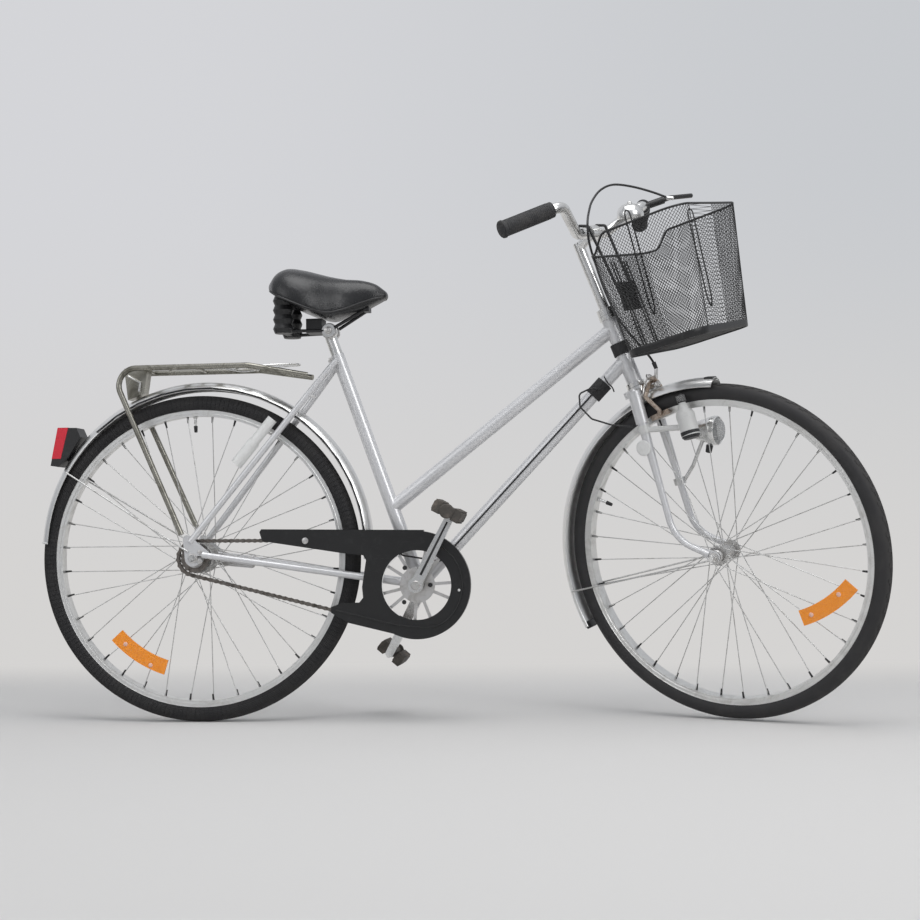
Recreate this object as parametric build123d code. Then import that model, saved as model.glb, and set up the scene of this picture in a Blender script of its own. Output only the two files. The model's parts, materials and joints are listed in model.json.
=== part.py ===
from build123d import *
import os
from math import acos, asin, atan2, ceil, cos, degrees, hypot, pi, radians, sin, sqrt, tan

# Step-through bicycle, millimetres.
# While it is drawn the rear axle is the zero point, with X forward, Y to the rider's left
# and Z up. On writing, everything moves so that the zero point is where the rider sits.

# Wheels
TYRE_RADIUS = 348.0
TYRE_WIDTH = 37.0
RIM_RADIUS = 317.0
RIM_DEPTH = 13.5
RIM_WIDTH = 25.0
RIM_WALL = 2.0
SPOKE_RADIUS = 1.0
SPOKE_COUNT = 36
FLANGE_THICKNESS = 3.0
REAR_FLANGE_RADIUS = 32.0
REAR_FLANGE_SPREAD = 27.0
FRONT_FLANGE_RADIUS = 21.0
FRONT_FLANGE_SPREAD = 32.0
REAR_HUB_RADIUS = 25.0
FRONT_HUB_RADIUS = 14.0
AXLE_RADIUS = 4.75
BEARING_GAP = 0.3
REFLECTOR_RADIUS = 243.0
REFLECTOR_WIDTH = 32.0
REFLECTOR_SWEEP = 30.5
REFLECTOR_THICKNESS = 4.0
REAR_REFLECTOR_ANGLE = 237.3
FRONT_REFLECTOR_ANGLE = -22.5
FRONT_REFLECTOR_TWIST = -33.0
REFLECTOR_GAP = 2.0

# Frame
WHEELBASE = 1112.0
BRACKET_X = 474.6
BRACKET_DROP = 60.7
SEAT_ANGLE = 70.5
SEAT_TUBE_LENGTH = 519.0
HEAD_ANGLE = 69.0
FORK_OFFSET = 42.0
HEAD_LOW = 354.0
HEAD_LENGTH = 143.0
TOP_TUBE_HEAD_HEIGHT = 468.0
TOP_TUBE_SEAT_HEIGHT = 101.0
DOWN_TUBE_HEAD_HEIGHT = 402.0
TUBE_RADIUS = 14.3
HEAD_TUBE_RADIUS = 16.5
HEAD_TUBE_BORE = 14.2
STEERER_RADIUS = 12.7
SHELL_RADIUS = 20.5
SHELL_WIDTH = 68.0
SHELL_BORE = 17.2
SEAT_STAY_RADIUS = 7.0
CHAIN_STAY_RADIUS = 8.0
STAY_TOP_SPREAD = 19.0
STAY_BRIDGE_SPREAD = 34.0
CHAIN_STAY_FRONT_SPREAD = 20.0
REAR_HUB_SPACING = 116.0
REAR_HUB_LENGTH = 98.0
FRONT_HUB_LENGTH = 90.0
FRONT_HUB_SPACING = 100.0
DROPOUT_THICKNESS = 5.0
LOCK_RADIUS = 13.0
LOCK_LENGTH = 124.0
LOCK_REACH = 187.0
LOCK_GAP = 7.0
NUT_RADIUS = 8.5
NUT_WIDTH = 8.0
AXLE_STUB = 8.0

# Transmission
CHAIN_PITCH = 12.7
CHAINRING_TEETH = 46
SPROCKET_TEETH = 18
CHAINRING_BAND = 12.0
CHAINRING_DISC = 37.0
CHAINRING_ARM = 6.5
CHAINRING_SPLAY = 13.0
CHAIN_LINE = 45.0
CHAIN_WIDTH = 8.0
CHAIN_PLATE_HEIGHT = 8.6
SPROCKET_THICKNESS = 2.6
CRANK_LENGTH = 170.0
CRANK_ANGLE = 27.6
CRANK_INNER = 62.0
CRANK_THICKNESS = 13.0
CRANK_ROOT = 12.0
CRANK_TIP = 8.5
CRANK_BOSS = 15.5
SPINDLE_RADIUS = 7.5
PEDAL_LENGTH = 88.0
PEDAL_WIDTH = 62.0
PEDAL_HEIGHT = 24.0
PEDAL_GAP = 5.0
PEDAL_BARREL_RADIUS = 9.0
PEDAL_BLOCK = 20.0
PEDAL_SPINDLE_RADIUS = 5.0
PEDAL_TILT_RIGHT = -28.0
PEDAL_TILT_LEFT = -40.0
BRAKE_ARM_REACH = 98.0
GUARD_RADIUS = 112.0
GUARD_WINDOW = 72.0
GUARD_THICKNESS = 1.6
GUARD_PLANE = 54.0
GUARD_FLANGE = 14.0
GUARD_REAR_X = 146.0

# Fenders
FENDER_RADIUS = 364.0
FENDER_WIDTH = 50.0
FENDER_DEPTH = 17.0
FENDER_SHEET = 1.0
FENDER_STAY_RADIUS = 1.8
WIRE_RADIUS = 1.8
REAR_FENDER_SHIFT = 13.0
REAR_FENDER_LIFT = 12.5
REAR_FENDER_FRONT = -3.0
REAR_FENDER_REAR = 176.5
FRONT_FENDER_SHIFT = -12.0
FRONT_FENDER_LIFT = -3.0
FRONT_FENDER_FRONT = 88.0
FRONT_FENDER_REAR = 208.5

REAR_LAMP_ANGLE = 143.0
REAR_LAMP_HALF_WIDTH = 23.5

# Saddle
SADDLE_WIDTH = 198.0
SADDLE_CLAMP_HEIGHT = 478.0
SADDLE_CLAMP_LEAD = 4.16
SADDLE_CLAMP_RADIUS = 14.0
SADDLE_CLAMP_LENGTH = 56.0
SITTING_BACK = 38.0
SITTING_RISE = 128.0
SADDLE_SHELL = 13.0
SPRING_RADIUS = 22.0
SPRING_SPREAD = 42.0
RAIL_RADIUS = 3.5
SEAT_POST_RADIUS = 12.7
POST_INSERTION = 190.0

# Rack
RACK_TUBE_RADIUS = 6.0
RACK_TOP = 405.5
RACK_BAR_RADIUS = 3.5
RACK_BEND = 37.0
RACK_REAR_X = -180.0
RACK_FRONT_X = 242.0
RACK_FRONT_DROP = 21.0
RACK_HALF_WIDTH = 58.0
RACK_LEG_FOOT_X = -22.0
RACK_LEG_FOOT_Z = 50.0

# Steering
STEER_REST = -28.2
STEM_DROP = 18.0
STEM_REACH = 39.4
QUILL_RADIUS = 11.1
BAR_CLAMP_HEIGHT = 668.0
BAR_RADIUS = 11.1
BAR_BEND_LEAD = 36.0
BAR_BEND_RISE = 56.0
BAR_BEND_HALF_WIDTH = 180.0
BAR_END_BACK = 34.0
BAR_END_RISE = 17.0
BAR_END_HALF_WIDTH = 297.0
GRIP_RADIUS = 16.0
GRIP_LENGTH = 116.0
GRIP_CAP = 4.0
BAR_BEND_RADIUS = 34.0
BLADE_RADIUS = 10.5
BLADE_TIP_RADIUS = 7.0
BLADE_SOCKET_RADIUS = 13.5
BLADE_SOCKET_LENGTH = 58.0
BLADE_KNEE_BACK = 86.0
BLADE_KNEE_RISE = 34.0
BLADE_KNEE_SPREAD = 50.0
CROWN_HEIGHT = 327.0
CROWN_THICKNESS = 13.0
CROWN_DEPTH = 30.0
BLADE_TOP_SPREAD = 40.0
BLADE_TOP_LEAD = 8.0

# Lamp and dynamo
LAMP_BACK = 28.0
LAMP_SIDE = 58.0
LAMP_HEIGHT = 245.0
LAMP_RADIUS = 30.0
LAMP_DEPTH = 52.0
LAMP_CLAMP_HEIGHT = 140.0
LAMP_LENS_DEPTH = 9.0
DYNAMO_RADIUS = 19.0
DYNAMO_LENGTH = 45.0
DYNAMO_ROLLER_RADIUS = 9.5
DYNAMO_ROLLER_GAP = 7.0
DYNAMO_TOP_ANGLE = 100.9
DYNAMO_LOW_ANGLE = 98.9
DYNAMO_TOP_DROP = 20.0
DYNAMO_LOW_DROP = 97.0

# Front brake
PAD_ANGLE = 111.8
PAD_LENGTH = 40.0
PAD_HEIGHT = 9.0
PAD_THICKNESS = 8.0
PAD_GAP = 3.0
SHOE_THICKNESS = 3.0
CALIPER_ARM_RADIUS = 4.5
CALIPER_BOLT_RADIUS = 4.0
CALIPER_BOLT_LENGTH = 36.0
CABLE_RADIUS = 2.5

# Basket
BASKET_LEAD = 161.9
BASKET_RISE = 80.0
BASKET_TILT = 14.6
BASKET_HEIGHT = 251.0
BASKET_BOTTOM_DEPTH = 174.0
BASKET_BOTTOM_WIDTH = 274.0
BASKET_TOP_DEPTH = 234.0
BASKET_TOP_WIDTH = 298.0
BASKET_TOP_LEAD = 11.7
BASKET_CORNER = 45.0
BASKET_WALL = 3.0
BASKET_DIP = 34.0
BASKET_BAR = 5.0
BASKET_HOOK_RADIUS = 3.0

# Places worked out from the sizes above
BRACKET = Vector(BRACKET_X, 0, -BRACKET_DROP)
SEAT_UP = Vector(-cos(radians(SEAT_ANGLE)), 0, sin(radians(SEAT_ANGLE)))
HEAD_UP = Vector(-cos(radians(HEAD_ANGLE)), 0, sin(radians(HEAD_ANGLE)))
HEAD_FORWARD = Vector(sin(radians(HEAD_ANGLE)), 0, cos(radians(HEAD_ANGLE)))
FRONT_AXLE = Vector(WHEELBASE, 0, 0)
STEER_POINT = FRONT_AXLE - HEAD_FORWARD * FORK_OFFSET
STEER_AXIS = Axis(STEER_POINT, HEAD_UP)
SEAT_TOP = BRACKET + SEAT_UP * SEAT_TUBE_LENGTH
SADDLE_CLAMP = BRACKET + SEAT_UP * ((SADDLE_CLAMP_HEIGHT - BRACKET.Z) / SEAT_UP.Z)
SADDLE_CLAMP += Vector(SADDLE_CLAMP_LEAD, 0, 0)
RIDER = SADDLE_CLAMP + Vector(-SITTING_BACK, 0, SITTING_RISE)
REAR_DROPOUT = REAR_HUB_SPACING / 2 + DROPOUT_THICKNESS / 2
FRONT_DROPOUT = FRONT_HUB_SPACING / 2 + DROPOUT_THICKNESS / 2
CHAINRING_RADIUS = CHAIN_PITCH / (2 * sin(pi / CHAINRING_TEETH))
SPROCKET_RADIUS = CHAIN_PITCH / (2 * sin(pi / SPROCKET_TEETH))


def on_head(height):
    """Point of the steering axis at a height above the axles."""
    return STEER_POINT + HEAD_UP * ((height - STEER_POINT.Z) / HEAD_UP.Z)


def beside_tyre(angle, drop, side):
    """Point beside the front wheel, a drop inside the tyre's outer edge."""
    reach = TYRE_RADIUS - drop
    return FRONT_AXLE + Vector(reach * cos(radians(angle)), side, reach * sin(radians(angle)))


def on_seat(height):
    """Point of the seat tube's axis at a height above the axles."""
    return BRACKET + SEAT_UP * ((height - BRACKET.Z) / SEAT_UP.Z)


def rod(start, end, radius):
    """Solid round bar from one point to another."""
    start, end = Vector(start), Vector(end)
    plane = Plane(origin=start, z_dir=end - start)
    return extrude(plane * Circle(radius), (end - start).length)


def cone_rod(start, end, start_radius, end_radius):
    """Tapered round bar from one point to another."""
    start, end = Vector(start), Vector(end)
    first = Plane(origin=start, z_dir=end - start) * Circle(start_radius)
    last = Plane(origin=end, z_dir=end - start) * Circle(end_radius)
    return loft([first, last])


def bent_rod(points, radius, bend):
    """Round bar along straight runs joined by arcs."""
    path = FilletPolyline(*points, radius=bend)
    section = Plane(origin=path @ 0, z_dir=path % 0) * Circle(radius)
    return sweep(section, path=path)


def across(centre, radius, inner, outer):
    """Round disc or bar square to the bicycle, from one Y to another."""
    low, high = min(inner, outer), max(inner, outer)
    plane = Plane(origin=(centre[0], low, centre[1]), x_dir=(1, 0, 0), z_dir=(0, 1, 0))
    return extrude(plane * Circle(radius), high - low)


def upright(sketch, low, high):
    """Plate drawn in X and Z, from one Y to another."""
    plane = Plane(origin=(0, high, 0), x_dir=(1, 0, 0), z_dir=(0, -1, 0))
    return extrude(plane * sketch, high - low, dir=(0, -1, 0))


def mirrored(shape):
    """The same piece on the other side of the bicycle."""
    return mirror(shape, about=Plane.XZ)


def revolved(profile):
    """Ring from a profile whose X is the radius and whose Y is the width."""
    plane = Plane(origin=(0, 0, 0), x_dir=(1, 0, 0), z_dir=(0, 0, 1))
    ring = revolve(plane * profile, axis=Axis.Y)
    return ring


# Wheels, drawn about the zero point

def tyre():
    """Road tyre seated on the rim's edge."""
    half = TYRE_WIDTH / 2
    centre = TYRE_RADIUS - half
    section = Pos(centre, 0) * Circle(half)
    keep = Pos(RIM_RADIUS + half + 20, 0) * Rectangle(2 * half + 40, 4 * half)
    return revolved(section & keep)


def rim():
    """Hollow rim with a well between its side walls."""
    low = RIM_RADIUS - RIM_DEPTH
    outer = Pos(low + RIM_DEPTH / 2, 0) * Rectangle(RIM_DEPTH, RIM_WIDTH)
    well = Pos(RIM_RADIUS, 0) * Rectangle(RIM_DEPTH, RIM_WIDTH - 4 * RIM_WALL)
    return revolved(outer - well)


def hub(flange_radius, spread, barrel_radius, length):
    """Hub shell with two spoke flanges, hollow for the axle."""
    shell = across((0, 0), barrel_radius, -spread, spread)
    for side in (-1, 1):
        edge = side * spread
        shell += across((0, 0), flange_radius, edge - FLANGE_THICKNESS / 2, edge + FLANGE_THICKNESS / 2)
    shell += across((0, 0), barrel_radius * 0.8, -length / 2, length / 2)
    return shell - across((0, 0), AXLE_RADIUS + BEARING_GAP, -length, length)


def spokes(flange_radius, spread):
    """Crossed wire spokes, in pairs that pass on either side of each flange."""
    wires = []
    per_side = SPOKE_COUNT // 2
    hole_radius = flange_radius - 3.5
    pitch = 360.0 / SPOKE_COUNT
    for side in (-1, 1):
        for index in range(per_side):
            lean = 1 if index % 2 else -1
            rim_angle = radians(pitch * (2 * index + (0.5 if side > 0 else 1.5)))
            hub_angle = rim_angle + lean * radians(62)
            offset = side * spread + lean * (FLANGE_THICKNESS / 2 + SPOKE_RADIUS * 0.7)
            start = (hole_radius * cos(hub_angle), offset, hole_radius * sin(hub_angle))
            reach = RIM_RADIUS - RIM_DEPTH + 0.5
            end = (reach * cos(rim_angle), side * 3.0 + lean * 1.4, reach * sin(rim_angle))
            wires.append(rod(start, end, SPOKE_RADIUS))
    return Compound(wires)


def wheel_reflector(middle, twist, spread, hole_radius):
    """Curved reflector strip, outside the right-hand spokes, turned by a twist about its middle."""
    outer = REFLECTOR_RADIUS + REFLECTOR_WIDTH / 2
    inner = REFLECTOR_RADIUS - REFLECTOR_WIDTH / 2
    reach = 2 * outer
    half = radians(REFLECTOR_SWEEP / 2)
    wedge = Polygon((0, 0), (reach * cos(half), -reach * sin(half)),
                    (reach * cos(half), reach * sin(half)), align=None)
    strip = Pos(-REFLECTOR_RADIUS, 0) * ((Circle(outer) - Circle(inner)) & wedge)
    strip = Rot(0, 0, middle) * Pos(REFLECTOR_RADIUS, 0) * Rot(0, 0, twist) * strip
    nearest = REFLECTOR_RADIUS - REFLECTOR_WIDTH / 2
    nearest -= REFLECTOR_RADIUS * half * abs(sin(radians(twist)))
    share = (nearest - hole_radius) / (RIM_RADIUS - RIM_DEPTH - hole_radius)
    stand_off = spread * (1 - share) + FLANGE_THICKNESS / 2 + 3 * SPOKE_RADIUS + REFLECTOR_GAP
    return upright(strip, -stand_off - REFLECTOR_THICKNESS, -stand_off)


def axle(spacing, dropout):
    """Axle with a nut and a free stub at each end."""
    edge = dropout + DROPOUT_THICKNESS / 2
    bar = across((0, 0), AXLE_RADIUS, -edge - NUT_WIDTH - AXLE_STUB, edge + NUT_WIDTH + AXLE_STUB)
    for side in (-1, 1):
        plane = Plane(origin=(0, side * edge, 0), x_dir=(1, 0, 0), z_dir=(0, side, 0))
        bar += extrude(plane * RegularPolygon(NUT_RADIUS, 6), NUT_WIDTH)
        inner = side * (spacing / 2)
        bar += across((0, 0), NUT_RADIUS, inner - side * 4.0, inner)
    return bar


# Frame

def head_tube_outer():
    return rod(on_head(HEAD_LOW), on_head(HEAD_LOW) + HEAD_UP * HEAD_LENGTH, HEAD_TUBE_RADIUS)


def head_tube():
    bore = rod(on_head(HEAD_LOW - 50), on_head(HEAD_LOW + 2 * HEAD_LENGTH), HEAD_TUBE_BORE)
    return head_tube_outer() - bore


def seat_tube_outer():
    return rod(BRACKET, SEAT_TOP, TUBE_RADIUS)


def shell_outer():
    return across((BRACKET.X, BRACKET.Z), SHELL_RADIUS, -SHELL_WIDTH / 2, SHELL_WIDTH / 2)


def bracket_shell():
    bore = across((BRACKET.X, BRACKET.Z), SHELL_BORE, -SHELL_WIDTH, SHELL_WIDTH)
    return shell_outer() - bore


def seat_tube():
    bore = rod(BRACKET + SEAT_UP * 60, SEAT_TOP + SEAT_UP * 10, SEAT_POST_RADIUS + 0.2)
    return seat_tube_outer() - bore - shell_outer()


def top_tube():
    bar = rod(on_head(TOP_TUBE_HEAD_HEIGHT), on_seat(TOP_TUBE_SEAT_HEIGHT), TUBE_RADIUS)
    return bar - head_tube_outer() - seat_tube_outer()


def down_tube():
    bar = rod(on_head(DOWN_TUBE_HEAD_HEIGHT), BRACKET, TUBE_RADIUS)
    return bar - head_tube_outer() - seat_tube_outer() - shell_outer()


def headset_cups():
    """Upper and lower bearing cups pressed on the head tube's ends."""
    top = on_head(HEAD_LOW) + HEAD_UP * HEAD_LENGTH
    low = on_head(HEAD_LOW)
    cups = []
    for start, way in ((top, 1), (low, -1)):
        cup = rod(start, start + HEAD_UP * (way * 9.0), HEAD_TUBE_RADIUS + 3.5)
        cup -= rod(start - HEAD_UP * 20, start + HEAD_UP * 20, HEAD_TUBE_BORE)
        cups.append(cup)
    return Compound(cups)


def stay_route(side):
    """Corners of one seat stay: seat tube, beside the fender, dropout."""
    top = on_seat(SEAT_TOP.Z - 14)
    foot = Vector(-6, side * REAR_DROPOUT, 34)
    start = Vector(top.X - 4, side * STAY_TOP_SPREAD, top.Z)
    share = 0.2
    bridge = start * (1 - share) + foot * share
    return [start, Vector(bridge.X, side * STAY_BRIDGE_SPREAD, bridge.Z), foot]


def seat_stays():
    """Two thin stays from the seat tube's top to the dropouts, with a bridge."""
    stays = None
    for side in (-1, 1):
        stay = bent_rod(stay_route(side), SEAT_STAY_RADIUS, 150)
        stays = stay if stays is None else stays + stay
    bridge = stay_route(1)[1]
    reach = STAY_BRIDGE_SPREAD - 2
    stays += across((bridge.X + 4, bridge.Z + 5), 5.0, -reach, reach)
    return stays - seat_tube_outer() - dropout_plates()


def chain_stay_line(side):
    """Front and rear end of one chain stay's axis."""
    start = Vector(BRACKET.X, side * CHAIN_STAY_FRONT_SPREAD, BRACKET.Z)
    return start, Vector(20, side * REAR_DROPOUT, 7)


def chain_stays():
    """Two stays from the bracket shell to the dropouts, with a bridge."""
    stays = None
    for side in (-1, 1):
        start, end = chain_stay_line(side)
        stay = cone_rod(start, end, CHAIN_STAY_RADIUS, CHAIN_STAY_RADIUS - 1.5)
        stays = stay if stays is None else stays + stay
    bridge_x = 388.0
    bridge_z = BRACKET.Z + (BRACKET.X - bridge_x) * 0.15
    stays += across((bridge_x, bridge_z), 6.0, -28, 28)
    return stays - shell_outer() + dropout_plates()


def dropout_outline():
    """Plate that takes the axle's slot, the stays and the rack's bolt."""
    body = make_hull([
        Pos(0, 0) * Circle(17).edge(),
        Pos(-12, 40) * Circle(9).edge(),
        Pos(26, 8) * Circle(9).edge(),
    ])
    slot = Pos(14, 0) * Rectangle(28, 2 * AXLE_RADIUS + 0.6) + Circle(AXLE_RADIUS + 0.3)
    return body - slot


def dropout_plates():
    plates = []
    for side in (-1, 1):
        middle = side * REAR_DROPOUT
        plates.append(upright(dropout_outline(), middle - DROPOUT_THICKNESS / 2,
                              middle + DROPOUT_THICKNESS / 2))
    return Compound(plates)


def seat_post():
    """Post with the saddle's clamp on its top."""
    half = SADDLE_CLAMP_LENGTH / 2
    post = rod(SEAT_TOP - SEAT_UP * POST_INSERTION, on_seat(SADDLE_CLAMP.Z), SEAT_POST_RADIUS)
    return post + across((SADDLE_CLAMP.X, SADDLE_CLAMP.Z), SADDLE_CLAMP_RADIUS, -half, half)


def saddle_stations():
    """Place ahead of the rider, share of the width, and crest, edge and hem heights, rear to nose."""
    return (
        (-84, 0.58, -19, -38, -46),
        (-72, 0.82, -2, -48, -56),
        (-48, 0.97, 9.5, -60, -70),
        (-15, 1.0, 5.5, -74, -86),
        (12, 0.91, -1.5, -84, -96),
        (40, 0.71, -9, -88, -104),
        (70, 0.49, -14.5, -78, -98),
        (108, 0.37, -18, -60, -88),
        (140, 0.30, -28, -54, -72),
        (160, 0.19, -44, -57, -61),
    )


def saddle_body(shell):
    """Loft of the saddle's sections, all drawn in by a shell thickness."""
    outlines = []
    for along, wide, crest, edge, hem in saddle_stations():
        half = SADDLE_WIDTH / 2 * wide - shell
        if half < shell / 2:
            continue
        low = (edge - shell * 0.5, hem - shell * 0.5)
        plane = Plane(origin=RIDER + Vector(along, 0, 0), x_dir=(0, 1, 0), z_dir=(1, 0, 0))
        top = ThreePointArc((-half, low[0]), (0, crest - shell), (half, low[0]))
        corners = [(half, low[0]), (half * 0.86, low[1]), (-half * 0.86, low[1]), (-half, low[0])]
        outlines.append(plane * make_face([top, Polyline(*corners)]))
    return loft(outlines)


def saddle():
    """Padded saddle, hollow below for its springs and clamp."""
    room = Pos(RIDER) * Pos(24, 0, -SITTING_RISE) * Box(
        SITTING_RISE, SADDLE_CLAMP_LENGTH + 2, SITTING_RISE)
    return saddle_body(0) - saddle_body(SADDLE_SHELL) - room


def saddle_springs():
    """Ribbed spring packs, rails and the block in front of them, below the saddle."""
    rear = SADDLE_CLAMP + Vector(-SITTING_RISE * 0.73, 0, 0)
    height = SITTING_RISE * 0.62
    nose = SADDLE_CLAMP + Vector(SITTING_RISE * 0.62, 0, SITTING_RISE * 0.36)
    pack = Pos(rear) * Box(12, 2 * SPRING_SPREAD, 8)
    for side in (-1, 1):
        foot = rear + Vector(0, side * SPRING_SPREAD, -6)
        for index in range(4):
            low = foot + Vector(0, 0, height * index / 4)
            middle = low + Vector(0, 0, height / 8)
            high = low + Vector(0, 0, height / 4)
            pack += cone_rod(low, middle, SPRING_RADIUS - 4, SPRING_RADIUS)
            pack += cone_rod(middle, high, SPRING_RADIUS, SPRING_RADIUS - 4)
        pack += bent_rod([rear + Vector(0, side * SPRING_SPREAD, 0),
                          SADDLE_CLAMP + Vector(0, side * SADDLE_CLAMP_LENGTH * 0.4, 0),
                          nose + Vector(0, side * 12, 0)], RAIL_RADIUS, 20)
    pack += Pos(SADDLE_CLAMP + Vector(-32, 0, 12)) * Box(34, 46, 30)
    pack += Pos(nose) * Box(12, 30, 12)
    return pack - saddle() - seat_post()


# Fenders

def fender(front_angle, rear_angle):
    """Sheet arch over a tyre, about the zero point, between two angles above the front."""
    half = FENDER_WIDTH / 2
    edge = FENDER_RADIUS - FENDER_DEPTH
    thin = FENDER_SHEET
    outer = ThreePointArc((edge, -half), (FENDER_RADIUS, 0), (edge, half))
    inner = ThreePointArc((edge, half - thin), (FENDER_RADIUS - thin, 0), (edge, -half + thin))
    section = make_face([outer, Line(outer @ 1, inner @ 0), inner, Line(inner @ 1, outer @ 0)])
    turning = Axis((0, 0, 0), (0, -1, 0))
    piece = revolve(section, axis=turning, revolution_arc=rear_angle - front_angle)
    return piece.rotate(turning, front_angle)


def rear_fender():
    arch = Pos(REAR_FENDER_SHIFT, 0, REAR_FENDER_LIFT) * fender(REAR_FENDER_FRONT, REAR_FENDER_REAR)
    return arch - seat_stays()


def front_fender():
    place = Pos(WHEELBASE + FRONT_FENDER_SHIFT, 0, FRONT_FENDER_LIFT)
    arch = place * fender(FRONT_FENDER_FRONT, FRONT_FENDER_REAR)
    return arch - fork_crown()


def fender_stays(eye, centre, angle):
    """Pair of wires from an eye beside the axle to a fender's edge."""
    edge = FENDER_RADIUS - FENDER_DEPTH + 2.0
    tip = Vector(centre[0] + edge * cos(radians(angle)), 0, centre[1] + edge * sin(radians(angle)))
    wires = []
    for side in (-1, 1):
        foot = Vector(eye[0], side * eye[1], eye[2])
        end = tip + Vector(0, side * (FENDER_WIDTH / 2 + FENDER_STAY_RADIUS), 0)
        middle = foot + (tip + Vector(0, side * eye[1], 0) - foot) * 0.12
        wires.append(bent_rod([foot, middle, end], FENDER_STAY_RADIUS, 60))
    return Compound(wires)


# Rack

def rear_rack():
    """Tube loop that runs round the platform and down to the dropouts."""
    pieces = []
    for side in (-1, 1):
        wide = side * RACK_HALF_WIDTH
        foot = side * (REAR_DROPOUT + DROPOUT_THICKNESS / 2 + RACK_TUBE_RADIUS)
        pieces.append(bent_rod([
            (RACK_LEG_FOOT_X, foot, RACK_LEG_FOOT_Z),
            (RACK_REAR_X, wide, RACK_TOP),
            (RACK_FRONT_X / 2, wide, RACK_TOP),
            (RACK_FRONT_X, side * 26, RACK_TOP - RACK_FRONT_DROP),
        ], RACK_TUBE_RADIUS, RACK_BEND))
    rack = pieces[0] + pieces[1]
    for x in (RACK_REAR_X + 1.7 * RACK_BEND, 0, RACK_FRONT_X / 2 - 4):
        rack += across((x, RACK_TOP), RACK_BAR_RADIUS, -RACK_HALF_WIDTH, RACK_HALF_WIDTH)
    return rack


def rack_plate():
    """Slotted pressed plate along the rack's middle, with a bracket down to the fender."""
    rear = RACK_REAR_X + 1.7 * RACK_BEND
    front = RACK_FRONT_X / 2
    pitch = (front - rear) / 3
    deck = Pos((rear + front) / 2, 0) * Rectangle(front - rear, 2 * (RACK_HALF_WIDTH - 26))
    for index in range(3):
        deck -= Pos(rear + pitch * (index + 0.5), 0) * RectangleRounded(pitch - 16, 36, 8)
    deck = Pos(0, 0, RACK_TOP + RACK_BAR_RADIUS) * extrude(deck, 1.6)
    tail = Pos(rear, RACK_TOP) * Polygon((-46, 4), (6, 4), (-2, -50), (-38, -64), align=None)
    return deck + upright(tail, -16, 16) - rear_rack() - rear_fender_envelope()


def rear_lamp_seat():
    """Point of the rear fender's outside that the lamp sits on, in X and Z."""
    angle = radians(REAR_LAMP_ANGLE)
    return (REAR_FENDER_SHIFT + FENDER_RADIUS * cos(angle),
            REAR_FENDER_LIFT + FENDER_RADIUS * sin(angle))


def rear_lamp_housing():
    """Wedge-shaped lamp body on the fender."""
    outline = Polygon((-48, -29), (-32, 53), (10, 52), (19, 32), (-8, -10), (-30, -32), align=None)
    body = upright(Pos(*rear_lamp_seat()) * outline, -REAR_LAMP_HALF_WIDTH, REAR_LAMP_HALF_WIDTH)
    return body - rear_fender_envelope() - rear_lamp_lens()


def rear_lamp_lens():
    """Lens that wraps round the lamp's rear."""
    outline = Polygon((-45.4, -14), (-32, 53), (-8.6, 53), (-25.2, -14), align=None)
    half = REAR_LAMP_HALF_WIDTH + 0.4
    return upright(Pos(*rear_lamp_seat()) * outline, -half, half) - rear_fender_envelope()


def rear_fender_envelope():
    disc = Pos(REAR_FENDER_SHIFT, 0, REAR_FENDER_LIFT)
    return disc * across((0, 0), FENDER_RADIUS + 0.2, -60, 60)


# Transmission

def guard_outline():
    """Side view of the guard: a disc with two arms that reach back along the chain."""
    back = GUARD_REAR_X - BRACKET.X
    top = GUARD_RADIUS + 2
    arms = Polygon(
        (15, top), (back, top + 6), (back - 4, top), (back + 2, top - 19), (-157, 68),
        (-112, 63), (-106, 53), (-110, 28), (-115, -3), (-113, -25), (-121, -35), (-158, -36),
        (-181, -44), (-181, -56), (-145, -77), (-55, -99), (0, 1 - GUARD_RADIUS), align=None)
    return Pos(BRACKET.X, BRACKET.Z) * (Circle(GUARD_RADIUS) + arms - Circle(GUARD_WINDOW))


def chain_guard():
    """Pressed guard outside the chain, with a flange turned in along its outer edge."""
    thin = GUARD_THICKNESS
    plate = upright(guard_outline(), -GUARD_PLANE - thin, -GUARD_PLANE)
    band = Circle(GUARD_RADIUS) - Circle(GUARD_RADIUS - thin)
    front_half = Pos(GUARD_RADIUS, 0) * Rectangle(2 * GUARD_RADIUS, 4 * GUARD_RADIUS)
    top = GUARD_RADIUS + 2
    back = GUARD_REAR_X - BRACKET.X
    strip = Polygon((15, top), (back, top + 6), (back, top + 6 - thin), (15, top - 2 - thin), align=None)
    edge = Pos(BRACKET.X, BRACKET.Z) * ((band & front_half) + strip)
    return plate + upright(edge, -GUARD_PLANE, -GUARD_PLANE + GUARD_FLANGE)


def chain_outline(half_height):
    """Side view of the band that the chain fills."""
    front = Pos(BRACKET.X, BRACKET.Z) * Circle(CHAINRING_RADIUS + half_height)
    return make_hull([Circle(SPROCKET_RADIUS + half_height).edge(), front.edge()])


def chain():
    """Roller chain as one closed band round the chainring and the sprocket."""
    half = CHAIN_PLATE_HEIGHT / 2
    low = -CHAIN_LINE - CHAIN_WIDTH / 2
    outer = upright(chain_outline(half), low, low + CHAIN_WIDTH)
    return outer - upright(chain_outline(-half), low - 1, low + CHAIN_WIDTH + 1)


def toothed_disc(teeth, root_radius, tip_radius):
    """Flat disc with one pointed tooth per chain pitch."""
    points = []
    for index in range(teeth):
        start = 2 * pi * index / teeth
        step = 2 * pi / teeth
        for share, radius in ((0.0, root_radius), (0.35, tip_radius), (0.65, tip_radius)):
            angle = start + step * share
            points.append((radius * cos(angle), radius * sin(angle)))
    return Polygon(*points, align=None)


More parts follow.
